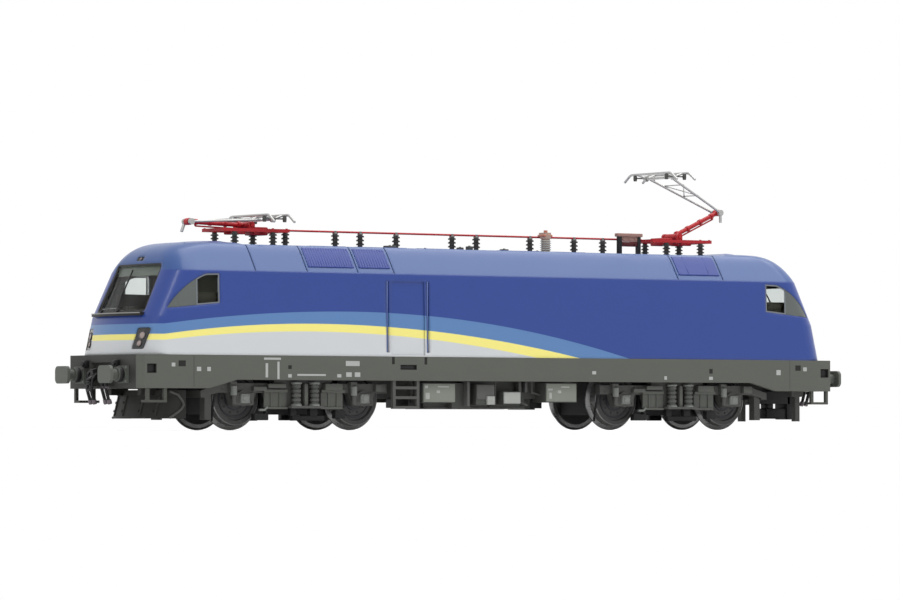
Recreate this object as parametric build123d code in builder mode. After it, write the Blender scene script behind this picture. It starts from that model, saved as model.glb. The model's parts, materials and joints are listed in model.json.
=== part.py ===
"""Four-axle electric locomotive, an H0 scale model (1:87) on 16.5 mm gauge wheels.

Millimetres. X runs along the locomotive, end 1 at -X and end 2 at +X, Y across it, Z up.
The floor, Z = 0, is where the wheel flanges stand; the rail head is RAIL above it.
"""

import os
from collections import namedtuple
from math import cos, radians, sin, sqrt

from build123d import *

os.makedirs("parts", exist_ok=True)


def tied(size, offset):
    """A length set off from another one, free of rounding noise."""
    return round(size + offset, 6)


# Running gear
RAIL = 1.1
TREAD_R = 6.6
AXLE_Z = RAIL + TREAD_R
BACK_TO_BACK = 14.4
AXLE_R = 1.2
RUNNING_FIT = 0.05
PIVOT_X = 56.9
WHEELBASE = 34.5
PIVOT_PIN_R = 2.5

# Body
SILL_TOP = 18.0
SILL_BOTTOM = 12.1
SILL_END_BOTTOM = 10.0
HALF_WIDTH = 17.2
SILL_THICK = 1.3
SILL_INSIDE = HALF_WIDTH - SILL_THICK
CHASSIS_BOTTOM = 16.4
BEAM_X = 105.2
BEAM_BACK = 96.0
BUFFER_FACE = 110.8
BUFFER_HEAD = 0.8
BUFFER_Z = 13.3
BUFFER_Y = 10.06
WALL = 1.2
DECK = 44.8
EAVES = tied(DECK, -6.7)
WINDOW_FOOT = 27.1
LEDGE_TOP = 28.1
LEDGE_THICK = 0.8
LEDGE_HALF_WIDTH = tied(HALF_WIDTH, -5.9)

# Roof and pantographs
LINE_Z = DECK + 4.1
PANTO_X = 65.25
PANTO_Z = DECK + 5.1
LOWER_ARM = 16.1
UPPER_ARM = 20.5
FOLDED_LOWER = 2.0
FOLDED_UPPER = 2.3
ARM_RATIO = 1.018
RAISED_LOWER = 24.1

Section = namedtuple("Section", "height nose half_width nose_radius corner_radius")

BODY_SECTIONS = [
    Section(SILL_TOP, 104.4, HALF_WIDTH, 45.0, 6.0),
    Section(WINDOW_FOOT, 102.3, HALF_WIDTH - 0.2, 45.0, 6.0),
    Section((WINDOW_FOOT + EAVES) / 2, 99.0, HALF_WIDTH - 0.35, 72.0, 6.0),
    Section(EAVES, 96.0, HALF_WIDTH - 0.5, 112.0, 6.0),
]
CROWN_HALF_WIDTH = HALF_WIDTH - 9.7
DOME_SECTIONS = [
    Section(EAVES, 96.0, HALF_WIDTH - 0.5, 112.0, 6.0),
    Section(tied(DECK, -4.2), 95.0, HALF_WIDTH - 2.18, 113.0, 6.5),
    Section(tied(DECK, -2.2), 93.6, HALF_WIDTH - 3.52, 75.0, 7.0),
    Section(tied(DECK, -0.7), 91.4, HALF_WIDTH - 4.7, 50.0, 7.0),
    Section(tied(DECK, 0.3), 88.0, HALF_WIDTH - 6.4, 30.0, 7.0),
    Section(tied(DECK, 0.8), 82.0, CROWN_HALF_WIDTH, 26.0, 0.8 * CROWN_HALF_WIDTH),
]


def save(part, name):
    """Label one piece and write its STEP file."""
    part.label = name
    export_step(part, f"parts/{name}.step")


def turned(part):
    """The same piece at the other end, half a turn about the vertical axis."""
    with BuildPart() as copy:
        add(part, rotation=(0, 0, 180))
    return copy.part


def save_both_ends(part, name):
    """End 2 as built, end 1 turned half round."""
    save(part, f"{name}_2")
    save(turned(part), f"{name}_1")


def plan_points(section, inset):
    """Where side, corner arc and nose arc of a plan outline meet."""
    nose = section.nose - inset
    half_width = section.half_width - inset
    nose_r = section.nose_radius - inset
    corner_r = section.corner_radius - inset
    centre = nose - nose_r
    corner_x = centre + sqrt((nose_r - corner_r) ** 2 - (half_width - corner_r) ** 2)
    reach = nose_r / (nose_r - corner_r)
    meet_x = centre + (corner_x - centre) * reach
    meet_y = (half_width - corner_r) * reach
    return nose, half_width, corner_x, meet_x, meet_y


def plan_face(section, inset):
    """Draw the double-ended plan outline of the body at one height."""
    nose, side, corner_x, meet_x, meet_y = plan_points(section, inset)
    with BuildSketch(Plane.XY.offset(section.height)) as outline:
        with BuildLine():
            for end in (1, -1):
                Line((-end * corner_x, -end * side), (end * corner_x, -end * side))
                TangentArc((end * corner_x, -end * side), (end * meet_x, -end * meet_y), tangent=(end, 0))
                ThreePointArc((end * meet_x, -end * meet_y), (end * nose, 0), (end * meet_x, end * meet_y))
                TangentArc(
                    (end * corner_x, end * side),
                    (end * meet_x, end * meet_y),
                    tangent=(end, 0),
                )
        make_face()
    return outline.sketch


def body_block(inset, dome):
    """Solid body inside the given inset of its outer surface."""
    with BuildPart() as whole:
        loft([plan_face(section, inset) for section in BODY_SECTIONS], ruled=True)
        loft([plan_face(section, inset) for section in dome])
    return whole.part


def block(x0, x1, y0, y1, z0, z1, mode=Mode.ADD):
    """Box between six planes, in the builder that is open."""
    with Locations(((x0 + x1) / 2, (y0 + y1) / 2, (z0 + z1) / 2)):
        Box(x1 - x0, y1 - y0, z1 - z0, mode=mode)


def rod(start, end, radius, mode=Mode.ADD):
    """Round bar between two points, in the builder that is open."""
    axis = Vector(*end) - Vector(*start)
    with Locations(Plane(origin=start, z_dir=axis)):
        Cylinder(radius, axis.length, align=(Align.CENTER, Align.CENTER, Align.MIN), mode=mode)


def prism_x(points, x0, x1, rounding=0.0):
    """Outline in Y and Z, drawn out along X."""
    with BuildPart() as prism:
        with BuildSketch(Plane.YZ.offset(x0)) as outline:
            Polygon(*points, align=None)
            if rounding:
                fillet(outline.vertices(), rounding)
        extrude(amount=x1 - x0)
    return prism.part


def prism_y(points, y0, y1):
    """Outline in X and Z, drawn out along Y."""
    with BuildPart() as prism:
        with BuildSketch(Plane.XZ.offset(-y1)):
            Polygon(*points, align=None)
        extrude(amount=y1 - y0)
    return prism.part


def windscreen_prism(end, slack):
    """Opening of the windscreen of one end, less some slack all round."""
    foot, head = HALF_WIDTH - 6.1 - slack, HALF_WIDTH - 7.0 - slack
    low, high = LEDGE_TOP + slack, EAVES + 1.8 - slack
    points = [(-foot, low), (foot, low), (head, high), (-head, high)]
    x0, x1 = sorted((end * 84.0, end * 112.0))
    return prism_x(points, x0, x1, 0.9)


def side_window_prism(end, side, slack):
    """Opening of one cab side window: upright rear edge and a long curve falling to the nose."""
    with BuildPart() as prism:
        with BuildSketch(Plane.XZ.offset(-HALF_WIDTH - 1.8 if side > 0 else HALF_WIDTH - 5.2)) as outline:
            with BuildLine():
                tip, bend = (97.0, EAVES - 9.0), (86.5, EAVES - 0.7)
                Polyline(tip, (82.8, tied(EAVES, -7.7)), (82.8, EAVES - 0.6), bend)
                ThreePointArc(bend, (92.0, EAVES - 3.6), tip)
            make_face()
            if slack:
                offset(amount=-slack)
            if end < 0:
                mirror(about=Plane.YZ, mode=Mode.REPLACE)
        extrude(amount=7.0)
    return prism.part


LAMP_SLANT = 0.9


def lamp_prisms(end, slack):
    """Openings of the two corner lamps and the top lamp of one end."""
    x0, x1 = sorted((end * 93.0, end * 112.0))
    prisms = []
    for side in (-1, 1):
        near, far = tied(HALF_WIDTH, -7.8) + slack, HALF_WIDTH - 3.7 - slack
        low, high = SILL_TOP + 1.3 + slack, SILL_TOP + 6.4 - slack
        points = [
            (side * near, low),
            (side * far, low),
            (side * (far + LAMP_SLANT), high),
            (side * (near + LAMP_SLANT), high),
        ]
        prisms.append(prism_x(points, x0, x1, 0.5))
    top = 1.5 - slack
    low, high = EAVES + 2.6 + slack, EAVES + 3.5 - slack
    points = [(-top, low), (top, low), (top, high), (-top, high)]
    x0, x1 = sorted((end * 90.0, end * 112.0))
    prisms.append(prism_x(points, x0, x1))
    return prisms


# Body shell: hollow, windows and lamps cut, flat roof deck between the two domes
HOLLOW_DOME = DOME_SECTIONS[:3] + [Section(DECK - 1.4, 92.5, HALF_WIDTH - 4.1, 60.0, 7.0)]
DECK_END = PANTO_X + 7.75
DECK_RAMP = DECK_END + 4.5
DOOR = (-33.6, -23.7)
DOOR_TOP = EAVES - 1.7
GRAB_RAILS = (-34.6, -22.7)
RAIL_RECESS_Y = HALF_WIDTH - 1.0
GRAB_RAIL_Y = HALF_WIDTH - 0.65
OUTSIDE = HALF_WIDTH + 1.8
RAIL_LOW = SILL_TOP + 1.0
RAIL_HIGH = DOOR_TOP
ROOF_JOINTS = (-72.5, -57.7, -43.0, -32.4, 54.8, 69.2)
JOINT_DEPTH = 0.3

body_outer = body_block(0.0, DOME_SECTIONS)
joint_floor = body_block(JOINT_DEPTH, DOME_SECTIONS)

with BuildPart() as panel_recesses:
    for x in ROOF_JOINTS:
        block(x - 0.15, x + 0.15, -OUTSIDE, 0, EAVES + 0.2, DECK + 2.2)
        block(-x - 0.15, -x + 0.15, 0, OUTSIDE, EAVES + 0.2, DECK + 2.2)
    block(DOOR[0], DOOR[1], -OUTSIDE, 0, SILL_TOP + 0.4, DOOR_TOP)
    block(-DOOR[1], -DOOR[0], 0, OUTSIDE, SILL_TOP + 0.4, DOOR_TOP)
    add(joint_floor, mode=Mode.SUBTRACT)

deck_profile = [
    (-DECK_RAMP, tied(DECK, 0.9)),
    (-DECK_END, DECK),
    (DECK_END, DECK),
    (DECK_RAMP, tied(DECK, 0.9)),
    (DECK_RAMP, DECK + 3.2),
    (-DECK_RAMP, DECK + 3.2),
]

with BuildPart() as body_shell:
    add(body_outer)
    add(body_block(WALL, HOLLOW_DOME), mode=Mode.SUBTRACT)
    add(prism_y(deck_profile, -OUTSIDE, OUTSIDE), mode=Mode.SUBTRACT)
    add(panel_recesses.part, mode=Mode.SUBTRACT)
    for x in GRAB_RAILS:
        block(x - 0.45, x + 0.45, -OUTSIDE, -RAIL_RECESS_Y, RAIL_LOW, RAIL_HIGH, mode=Mode.SUBTRACT)
        block(-x - 0.45, -x + 0.45, RAIL_RECESS_Y, OUTSIDE, RAIL_LOW, RAIL_HIGH, mode=Mode.SUBTRACT)
    for end in (-1, 1):
        add(windscreen_prism(end, 0.0), mode=Mode.SUBTRACT)
        for prism in lamp_prisms(end, 0.0):
            add(prism, mode=Mode.SUBTRACT)
        for side in (-1, 1):
            add(side_window_prism(end, side, 0.0), mode=Mode.SUBTRACT)
save(body_shell.part, "body_shell")

with BuildPart() as grab_rails:
    for x in GRAB_RAILS:
        rod((x, -GRAB_RAIL_Y, RAIL_LOW), (x, -GRAB_RAIL_Y, RAIL_HIGH), 0.22)
        rod((-x, GRAB_RAIL_Y, RAIL_LOW), (-x, GRAB_RAIL_Y, RAIL_HIGH), 0.22)
save(grab_rails.part, "grab_rails")

# Glass and lamps lie inside the shell's wall
PANE_SLACK = 0.05
glass_outer = body_block(0.2, DOME_SECTIONS)
glass_inner = body_block(1.0, DOME_SECTIONS)


def pane(prisms):
    """The layer of the wall that the glass takes up, inside the given openings."""
    with BuildPart() as glass:
        for prism in prisms:
            add(prism)
        add(glass_outer, mode=Mode.INTERSECT)
        add(glass_inner, mode=Mode.SUBTRACT)
    return glass.part


for number, end in ((1, -1), (2, 1)):
    save(pane([windscreen_prism(end, PANE_SLACK)]), f"windscreen_{number}")
    save(pane([side_window_prism(end, side, PANE_SLACK) for side in (-1, 1)]), f"side_windows_{number}")
    save(pane(lamp_prisms(end, PANE_SLACK)), f"lamps_{number}")

with BuildPart() as front_ledge:
    extrude(
        plan_face(Section(LEDGE_TOP - LEDGE_THICK, 102.2, HALF_WIDTH - 0.2, 45.0, 6.0), -0.9),
        amount=LEDGE_THICK,
    )
    block(90, 112, -LEDGE_HALF_WIDTH, LEDGE_HALF_WIDTH, LEDGE_TOP - 2, LEDGE_TOP + 1, mode=Mode.INTERSECT)
    add(body_outer, mode=Mode.SUBTRACT)
save_both_ends(front_ledge.part, "front_ledge")

cab_profile = [
    (79.4, SILL_TOP),
    (98.4, SILL_TOP),
    (96.6, 25.8),
    (92.6, 26.9),
    (91.8, 26.0),
    (93.2, 19.0),
    (80.4, 19.0),
    (80.4, EAVES + 0.9),
    (79.4, EAVES + 0.9),
]
with BuildPart() as cab_interior:
    add(prism_y(cab_profile, 2.7 - HALF_WIDTH, HALF_WIDTH - 2.7))
    for y in (-6.0, 6.0):
        block(85.4, 88.6, y - 2.2, y + 2.2, 19.0, 24.6)
        block(84.4, 85.4, y - 2.2, y + 2.2, 19.0, 30.5)
save_both_ends(cab_interior.part, "cab_interior")

# Underframe
DRIVE_SHAFT_WINDOW = (9.0, 21.0)
with BuildPart() as chassis:
    block(-BEAM_BACK, BEAM_BACK, -SILL_INSIDE, SILL_INSIDE, CHASSIS_BOTTOM, SILL_TOP)
    for end in (-1, 1):
        x = end * PIVOT_X
        rod((x, 0, CHASSIS_BOTTOM - 1), (x, 0, SILL_TOP + 1), PIVOT_PIN_R + RUNNING_FIT, mode=Mode.SUBTRACT)
        x0, x1 = sorted(x - end * reach for reach in DRIVE_SHAFT_WINDOW)
        block(x0, x1, -7, 7, CHASSIS_BOTTOM - 1, SILL_TOP + 1, mode=Mode.SUBTRACT)
save(chassis.part, "chassis")

with BuildPart() as motor:
    block(-24, 24, -8.5, 8.5, SILL_TOP, EAVES - 1.1)
save(motor.part, "motor")

sill_profile = [
    (-BEAM_BACK, SILL_END_BOTTOM),
    (-86, SILL_END_BOTTOM),
    (-78, SILL_BOTTOM),
    (78, SILL_BOTTOM),
    (86, SILL_END_BOTTOM),
    (BEAM_BACK, SILL_END_BOTTOM),
    (BEAM_BACK, SILL_TOP),
    (-BEAM_BACK, SILL_TOP),
]
FOOT_SLOT = (-31.0, -26.2)
with BuildPart() as side_sill:
    add(prism_y(sill_profile, -HALF_WIDTH, -SILL_INSIDE))
    block(FOOT_SLOT[0], FOOT_SLOT[1], -OUTSIDE, 0.7 - HALF_WIDTH, 14.8, 16.0, mode=Mode.SUBTRACT)
save(side_sill.part, "side_sill_right")
save(turned(side_sill.part), "side_sill_left")

with BuildPart() as end_block:
    with BuildSketch(Plane.XY.offset(SILL_END_BOTTOM)):
        Polygon(
            (BEAM_BACK, -HALF_WIDTH),
            (103.8, -HALF_WIDTH),
            (BEAM_X, 1.8 - HALF_WIDTH),
            (BEAM_X, HALF_WIDTH - 1.8),
            (103.8, HALF_WIDTH),
            (BEAM_BACK, HALF_WIDTH),
            align=None,
        )
    extrude(amount=SILL_TOP - SILL_END_BOTTOM)
    block(103.8, 106, -5.6, 5.6, 10.6, 16.2, mode=Mode.SUBTRACT)
    for side in (-1, 1):
        y0, y1 = sorted((side * (HALF_WIDTH - 1), side * (HALF_WIDTH + 1)))
        block(100.6, 103.2, y0, y1, 13.6, 15.8, mode=Mode.SUBTRACT)
save_both_ends(end_block.part, "end_block")

with BuildPart() as buffers:
    for side in (-1, 1):
        y = side * BUFFER_Y
        block(BEAM_X, BEAM_X + 0.5, y - 2.1, y + 2.1, BUFFER_Z - 2.1, BUFFER_Z + 2.1)
        rod((BEAM_X, y, BUFFER_Z), (BUFFER_FACE - 3.2, y, BUFFER_Z), 1.75)
        rod((BUFFER_FACE - 3.2, y, BUFFER_Z), (BUFFER_FACE - BUFFER_HEAD, y, BUFFER_Z), 1.25)
        with BuildSketch(Plane.YZ.offset(BUFFER_FACE - BUFFER_HEAD)):
            with Locations((y, BUFFER_Z)):
                RectangleRounded(6.0, 4.2, 1.2)
        extrude(amount=BUFFER_HEAD)
save_both_ends(buffers.part, "buffers")

hook_profile = [
    (103.8, 12.4),
    (106.6, 12.3),
    (108.4, 11.5),
    (109.2, 12.3),
    (108.0, 13.1),
    (108.5, 14.4),
    (107.0, 14.8),
    (103.8, 14.2),
]
with BuildPart() as coupling_hook:
    add(prism_y(hook_profile, -0.6, 0.6))
save_both_ends(coupling_hook.part, "coupling_hook")

with BuildPart() as hoses:
    for y in (-4.4, -2.6, 2.6, 4.4):
        with BuildLine() as run:
            FilletPolyline((103.8, y, 14.0), (106.6, y, 14.0), (107.0, y, 10.0), (106.0, y, 6.8), radius=1.0)
        with BuildSketch(Plane.YZ.offset(103.8)):
            with Locations((y, 14.0)):
                Circle(0.4)
        sweep(path=run.line)
save_both_ends(hoses.part, "hoses")

# Plough at end 1, coupler pocket and guard irons at end 2
PLOUGH_SECTIONS = [
    Section(2.8, 97.6, 13.2, 40.0, 4.0),
    Section(9.6, 95.8, 13.2, 40.0, 4.0),
]
with BuildPart() as plough:
    loft([plan_face(section, 0.0) for section in PLOUGH_SECTIONS], ruled=True)
    add(
        loft([plan_face(section, 1.0) for section in PLOUGH_SECTIONS], ruled=True, mode=Mode.PRIVATE),
        mode=Mode.SUBTRACT,
    )
    block(90.0, 100, -15, 15, 0, 12, mode=Mode.INTERSECT)
    for side in (-1, 1):
        y0, y1 = sorted((side * 6.2, side * 7.8))
        block(94.4, 99.0, y0, y1, 8.4, SILL_END_BOTTOM)
save(turned(plough.part), "plough_1")

with BuildPart() as coupler_pocket:
    block(92.0, 102.0, -2.6, 2.6, 6.8, SILL_END_BOTTOM)
    block(96.0, 103.0, -1.6, 1.6, 7.55, 9.25, mode=Mode.SUBTRACT)
save(coupler_pocket.part, "coupler_pocket_2")

with BuildPart() as guard_irons:
    for side in (-1, 1):
        y0, y1 = sorted((side * 10.6, side * 12.2))
        block(96.2, 97.6, y0, y1, 2.2, SILL_END_BOTTOM)
        block(95.0, 98.8, y0, y1, 8.6, SILL_END_BOTTOM)
save(guard_irons.part, "guard_irons_2")

with BuildPart() as corner_steps:
    for end in (-1, 1):
        for side in (-1, 1):
            y0, y1 = sorted((side * (HALF_WIDTH - 1.0), side * (HALF_WIDTH - 0.2)))
            t0, t1 = sorted((side * (HALF_WIDTH - 2.8), side * (HALF_WIDTH - 0.2)))
            for x in (97.6, 102.4):
                x0, x1 = sorted((end * x, end * (x + 0.8)))
                block(x0, x1, y0, y1, 6.6, SILL_END_BOTTOM)
            x0, x1 = sorted((end * 97.6, end * 103.2))
            block(x0, x1, t0, t1, 6.6, 7.2)
save(corner_steps.part, "corner_steps")

Case = namedtuple("Case", "x0 x1 depth bottom top")
UNDERFLOOR_CASES = [
    Case(-23.4, -13.6, 15.6, 6.7, 11.6),
    Case(-13.2, -7.6, 13.4, 5.3, 11.6),
    Case(-6.9, -1.4, 15.0, 6.2, 11.3),
    Case(1.0, 6.2, 15.4, 6.4, 9.6),
    Case(13.8, 23.4, 15.6, 6.9, 11.8),
]
TRAY_END = 10.5
with BuildPart() as underfloor:
    block(-25, 25, -11, 11, 7.9, CHASSIS_BOTTOM)
    block(-20, TRAY_END, -11, 0, 5.3, 8)
    block(-TRAY_END, 20, 0, 11, 5.3, 8)
    for case in UNDERFLOOR_CASES:
        block(case.x0, case.x1, -case.depth, -10, case.bottom, case.top)
        block(-case.x1, -case.x0, 10, case.depth, case.bottom, case.top)
save(underfloor.part, "underfloor_cases")

with BuildPart() as ladders:
    for turn in (1, -1):
        y0, y1 = sorted((turn * -SILL_INSIDE, turn * (-SILL_INSIDE - 1.0)))
        for x in (-33.0, -26.0):
            x0, x1 = sorted((turn * x, turn * (x + 0.8)))
            block(x0, x1, y0, y1, 5.2, SILL_BOTTOM)
        x0, x1 = sorted((turn * -33.0, turn * -25.2))
        for z in (5.2, 7.6, 10.0):
            block(x0, x1, y0, y1, z, z + 0.7)
save(ladders.part, "door_ladders")

# Wheelsets: axle and both wheels in one
half_back = BACK_TO_BACK / 2
wheel_profile = [
    (half_back, AXLE_R),
    (half_back, 7.2),
    (half_back + 0.2, TREAD_R + RAIL),
    (half_back + 0.55, TREAD_R + RAIL),
    (half_back + 0.85, 6.72),
    (half_back + 2.8, 6.5),
    (half_back + 2.9, 6.3),
    (half_back + 2.9, 5.4),
    (half_back + 2.3, 5.2),
    (half_back + 2.3, 2.4),
    (half_back + 3.0, 2.2),
    (half_back + 3.0, 0),
]
wheelset_profile = [(-y, r) for y, r in reversed(wheel_profile)] + wheel_profile
AXLES = [-PIVOT_X - WHEELBASE / 2, -PIVOT_X + WHEELBASE / 2, PIVOT_X - WHEELBASE / 2, PIVOT_X + WHEELBASE / 2]
for number, x in enumerate(AXLES, 1):
    with BuildPart() as wheelset:
        with BuildSketch(Plane.YZ.offset(x)):
            Polygon(*[(y, AXLE_Z + r) for y, r in wheelset_profile], align=None)
        revolve(axis=Axis((x, 0, AXLE_Z), (0, 1, 0)))
    save(wheelset.part, f"wheelset_{number}")

# Bogie of end 2; end 1 is the same, turned
with BuildPart() as gear_case:
    block(PIVOT_X - 22.6, PIVOT_X + 22.6, -6.3, 6.3, 3.8, 12.0)
    for x in AXLES[2:]:
        rod((x, -7, AXLE_Z), (x, 7, AXLE_Z), AXLE_R + RUNNING_FIT, mode=Mode.SUBTRACT)
save_both_ends(gear_case.part, "gear_case")

side_frame_profile = [
    (-24.5, 11.3),
    (22.5, 11.3),
    (29.0, 9.5),
    (29.0, 7.8),
    (24.0, 9.0),
    (21.0, 9.0),
    (20.0, 5.9),
    (14.5, 5.9),
    (13.4, 9.0),
    (10.6, 9.0),
    (9.4, 5.3),
    (-9.4, 5.3),
    (-10.6, 9.0),
    (-13.4, 9.0),
    (-14.5, 5.9),
    (-20.0, 5.9),
    (-21.0, 9.0),
    (-24.5, 9.0),
]
SIDE_FRAME_IN = 11.2
SIDE_FRAME_OUT = 13.2
with BuildPart() as bogie_frame:
    outline = [(PIVOT_X + x, z) for x, z in side_frame_profile]
    add(prism_y(outline, SIDE_FRAME_IN, SIDE_FRAME_OUT))
    add(prism_y(outline, -SIDE_FRAME_OUT, -SIDE_FRAME_IN))
    block(PIVOT_X - 8.2, PIVOT_X + 8.2, -SIDE_FRAME_OUT, SIDE_FRAME_OUT, 12.0, 13.6)
    block(PIVOT_X + 27.2, PIVOT_X + 29.0, -SIDE_FRAME_OUT, SIDE_FRAME_OUT, 7.8, 9.5)
    rod((PIVOT_X, 0, 13.6), (PIVOT_X, 0, CHASSIS_BOTTOM - 0.1), 5.0)
    rod((PIVOT_X, 0, 13.6), (PIVOT_X, 0, SILL_TOP + 0.8), PIVOT_PIN_R)
    for side in (-1, 1):
        y0, y1 = sorted((side * SIDE_FRAME_IN, side * SIDE_FRAME_OUT))
        block(PIVOT_X - 8.2, PIVOT_X + 8.2, y0, y1, 10, 13.6)
        y0, y1 = sorted((side * SIDE_FRAME_OUT, side * tied(SILL_INSIDE, -0.3)))
        block(PIVOT_X - 4.6, PIVOT_X + 4.6, y0, y1, 5.3, 5.9)
        y0, y1 = sorted((side * 10.2, side * 12.4))
        block(PIVOT_X + 25.6, PIVOT_X + 27.4, y0, y1, 2.5, 9.4)
        for x in AXLES[2:]:
            rod((x, side * SIDE_FRAME_OUT, AXLE_Z), (x, side * 13.9, AXLE_Z), 1.9)
save_both_ends(bogie_frame.part, "bogie_frame")

SPRING_X = 2.6
SPRING_Y = tied(SILL_INSIDE, -1.5)
spring_profile = [(0, 5.9), (1.15, 5.9)]
for turn in range(5):
    low = 5.9 + 1.1 * turn
    spring_profile += [(1.15, low + 0.6), (0.85, low + 0.75), (0.85, low + 0.95), (1.15, low + 1.1)]
spring_profile += [(0, 11.4)]
with BuildPart() as suspension:
    for side in (-1, 1):
        for x in (PIVOT_X - SPRING_X, PIVOT_X + SPRING_X):
            with BuildSketch(Plane((x, side * SPRING_Y, 0), x_dir=(1, 0, 0), z_dir=(0, -1, 0))):
                Polygon(*spring_profile, align=None)
            revolve(axis=Axis((x, side * SPRING_Y, 0), (0, 0, 1)))
        y0, y1 = sorted((side * SIDE_FRAME_OUT, side * (SPRING_Y - 0.1)))
        for x in AXLES[2:]:
            block(x + side * 3.1 - 0.9, x + side * 3.1 + 0.9, y0, y1, 9.2, 11.7)
save_both_ends(suspension.part, "suspension")

# Roof gear


def insulator_face(foot, head):
    """Half section of a ribbed insulator from foot to head height."""
    count = 4
    step = (head - foot) / count
    points = [(0.0, foot)]
    for shed in range(count):
        low = foot + shed * step
        points += [(1.0, low), (1.0, low + 0.35 * step), (0.62, low + 0.55 * step), (0.62, low + step)]
    points += [(0.0, head)]
    return points


LINE_SUPPORTS = (-53.5, -38.9, -31.5, -20.8, -3.9, 3.5, 20.1, 33.9, 43.0)
BASE_Z = tied(DECK, 3.4)
BASE_TOP = BASE_Z + 0.8
BASE_Y = 4.6
BASE_BACK = PANTO_X - 9.85
BASE_FRONT = PANTO_X + 9.15
BASE_BAR = 0.8
BASE_SUPPORTS = (PANTO_X - 5.25, PANTO_X + 5.75)
with BuildPart() as roof_insulators:
    places = [(x, 0.0, LINE_Z - 0.25) for x in LINE_SUPPORTS]
    for x in BASE_SUPPORTS:
        places += [(turn * x, side * BASE_Y, BASE_Z) for turn in (-1, 1) for side in (-1, 1)]
    for x, y, top in places:
        with BuildSketch(Plane((x, y, 0), x_dir=(1, 0, 0), z_dir=(0, -1, 0))):
            Polygon(*insulator_face(DECK, top), align=None)
        revolve(axis=Axis((x, y, 0), (0, 0, 1)))
save(roof_insulators.part, "roof_insulators")

with BuildPart() as roof_line:
    rod((-BASE_BACK, 0, LINE_Z), (BASE_BACK, 0, LINE_Z), 0.25)
save(roof_line.part, "roof_line")

BREAKER_NECK = DECK + 3.6
with BuildPart() as breaker:
    rod((23.3, -2.4, DECK), (23.3, -2.4, BREAKER_NECK), 1.1)
    rod((23.3, -2.4, BREAKER_NECK), (23.3, -2.4, BREAKER_NECK + 1.0), 1.4)
    block(22.3, 24.3, -3.4, -0.9, BREAKER_NECK + 1.0, BREAKER_NECK + 1.6)
save(breaker.part, "breaker")

POST_TOP = tied(DECK, 4.8)
with BuildPart() as disconnector:
    block(45.6, 46.6, -3.5, -2.5, DECK, POST_TOP)
    block(51.6, 52.6, -3.5, -2.5, DECK, POST_TOP)
    block(45.2, 53.0, -3.6, -2.4, POST_TOP, tied(POST_TOP, 0.7))
save(disconnector.part, "disconnector")

# Pantographs, drawn for end 2 with the knee toward +X
PIVOT_R = 0.45
KNEE_R = 0.4
HEAD_R = 0.35
FORK_IN = 2.6
FORK_OUT = 3.4


def arm_points(lower_angle):
    """Knee and head pivots in X and Z when the lower arm stands at the given angle."""
    upper_angle = FOLDED_UPPER + ARM_RATIO * (lower_angle - FOLDED_LOWER)
    low, up = radians(lower_angle), radians(upper_angle)
    knee = (PANTO_X + LOWER_ARM * cos(low), PANTO_Z + LOWER_ARM * sin(low))
    head = (knee[0] - UPPER_ARM * cos(up), knee[1] + UPPER_ARM * sin(up))
    return knee, head, upper_angle


with BuildPart() as panto_base:
    for side in (-1, 1):
        y = side * BASE_Y
        block(BASE_BACK, BASE_FRONT, y - 0.35, y + 0.35, BASE_Z, BASE_TOP)
        y0, y1 = sorted((side * FORK_IN, side * FORK_OUT))
        block(PANTO_X - 0.85, PANTO_X + 0.85, y0, y1, BASE_Z, PANTO_Z)
        rod((PANTO_X, y0, PANTO_Z), (PANTO_X, y1, PANTO_Z), 0.85)
    for x in (BASE_BACK, PANTO_X - BASE_BAR / 2, BASE_FRONT - BASE_BAR):
        block(x, x + BASE_BAR, -BASE_Y, BASE_Y, BASE_Z, BASE_TOP)
    rod((PANTO_X, -5, PANTO_Z), (PANTO_X, 5, PANTO_Z), PIVOT_R + RUNNING_FIT, mode=Mode.SUBTRACT)
save_both_ends(panto_base.part, "pantograph_base")


def lower_arm(angle):
    """Lower arm with its pivot tube, the knee bearing and the thin guide rod below it."""
    knee, head, upper_angle = arm_points(angle)
    down = (0.95 * sin(radians(angle)), -0.95 * cos(radians(angle)))
    along = (cos(radians(angle)), sin(radians(angle)))
    near = (PANTO_X + 3 * along[0], PANTO_Z + 3 * along[1])
    far = (knee[0] - 2 * along[0], knee[1] - 2 * along[1])
    with BuildPart() as arm:
        rod((PANTO_X, -2.3, PANTO_Z), (PANTO_X, 2.3, PANTO_Z), 0.8)
        rod((PANTO_X, -3.6, PANTO_Z), (PANTO_X, 3.6, PANTO_Z), PIVOT_R)
        rod((PANTO_X, 0, PANTO_Z), (knee[0], 0, knee[1]), 0.55)
        rod((knee[0], -0.8, knee[1]), (knee[0], 0.8, knee[1]), 0.85)
        low_near = (near[0] + down[0], 0, near[1] + down[1])
        low_far = (far[0] + down[0], 0, far[1] + down[1])
        rod(low_near, low_far, 0.2)
        rod((near[0], 0, near[1]), low_near, 0.25)
        rod((far[0], 0, far[1]), low_far, 0.25)
        rod((knee[0], -2, knee[1]), (knee[0], 2, knee[1]), KNEE_R + RUNNING_FIT, mode=Mode.SUBTRACT)
    return arm.part


def upper_arm(angle):
    """Upper arm: knee pin with two cheeks, two spreading tubes and the tube that carries the head."""
    knee, head, upper_angle = arm_points(angle)
    tab = radians(180 - upper_angle + 114.8)
    with BuildPart() as arm:
        rod((knee[0], -1.9, knee[1]), (knee[0], 1.9, knee[1]), KNEE_R)
        for side in (-1, 1):
            rod((knee[0], side * 1.1, knee[1]), (knee[0], side * 1.9, knee[1]), 0.75)
            rod((knee[0], side * 1.5, knee[1]), (head[0], side * 4.8, head[1]), 0.3)
        rod((head[0], -6.2, head[1]), (head[0], 6.2, head[1]), HEAD_R)
        rod(
            (knee[0], -1.5, knee[1]),
            (knee[0] + 2.6 * cos(tab), -1.5, knee[1] + 2.6 * sin(tab)),
            0.38,
        )
    return arm.part


STRIP_X = 2.9
STRIP_RISE = 1.0


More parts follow.
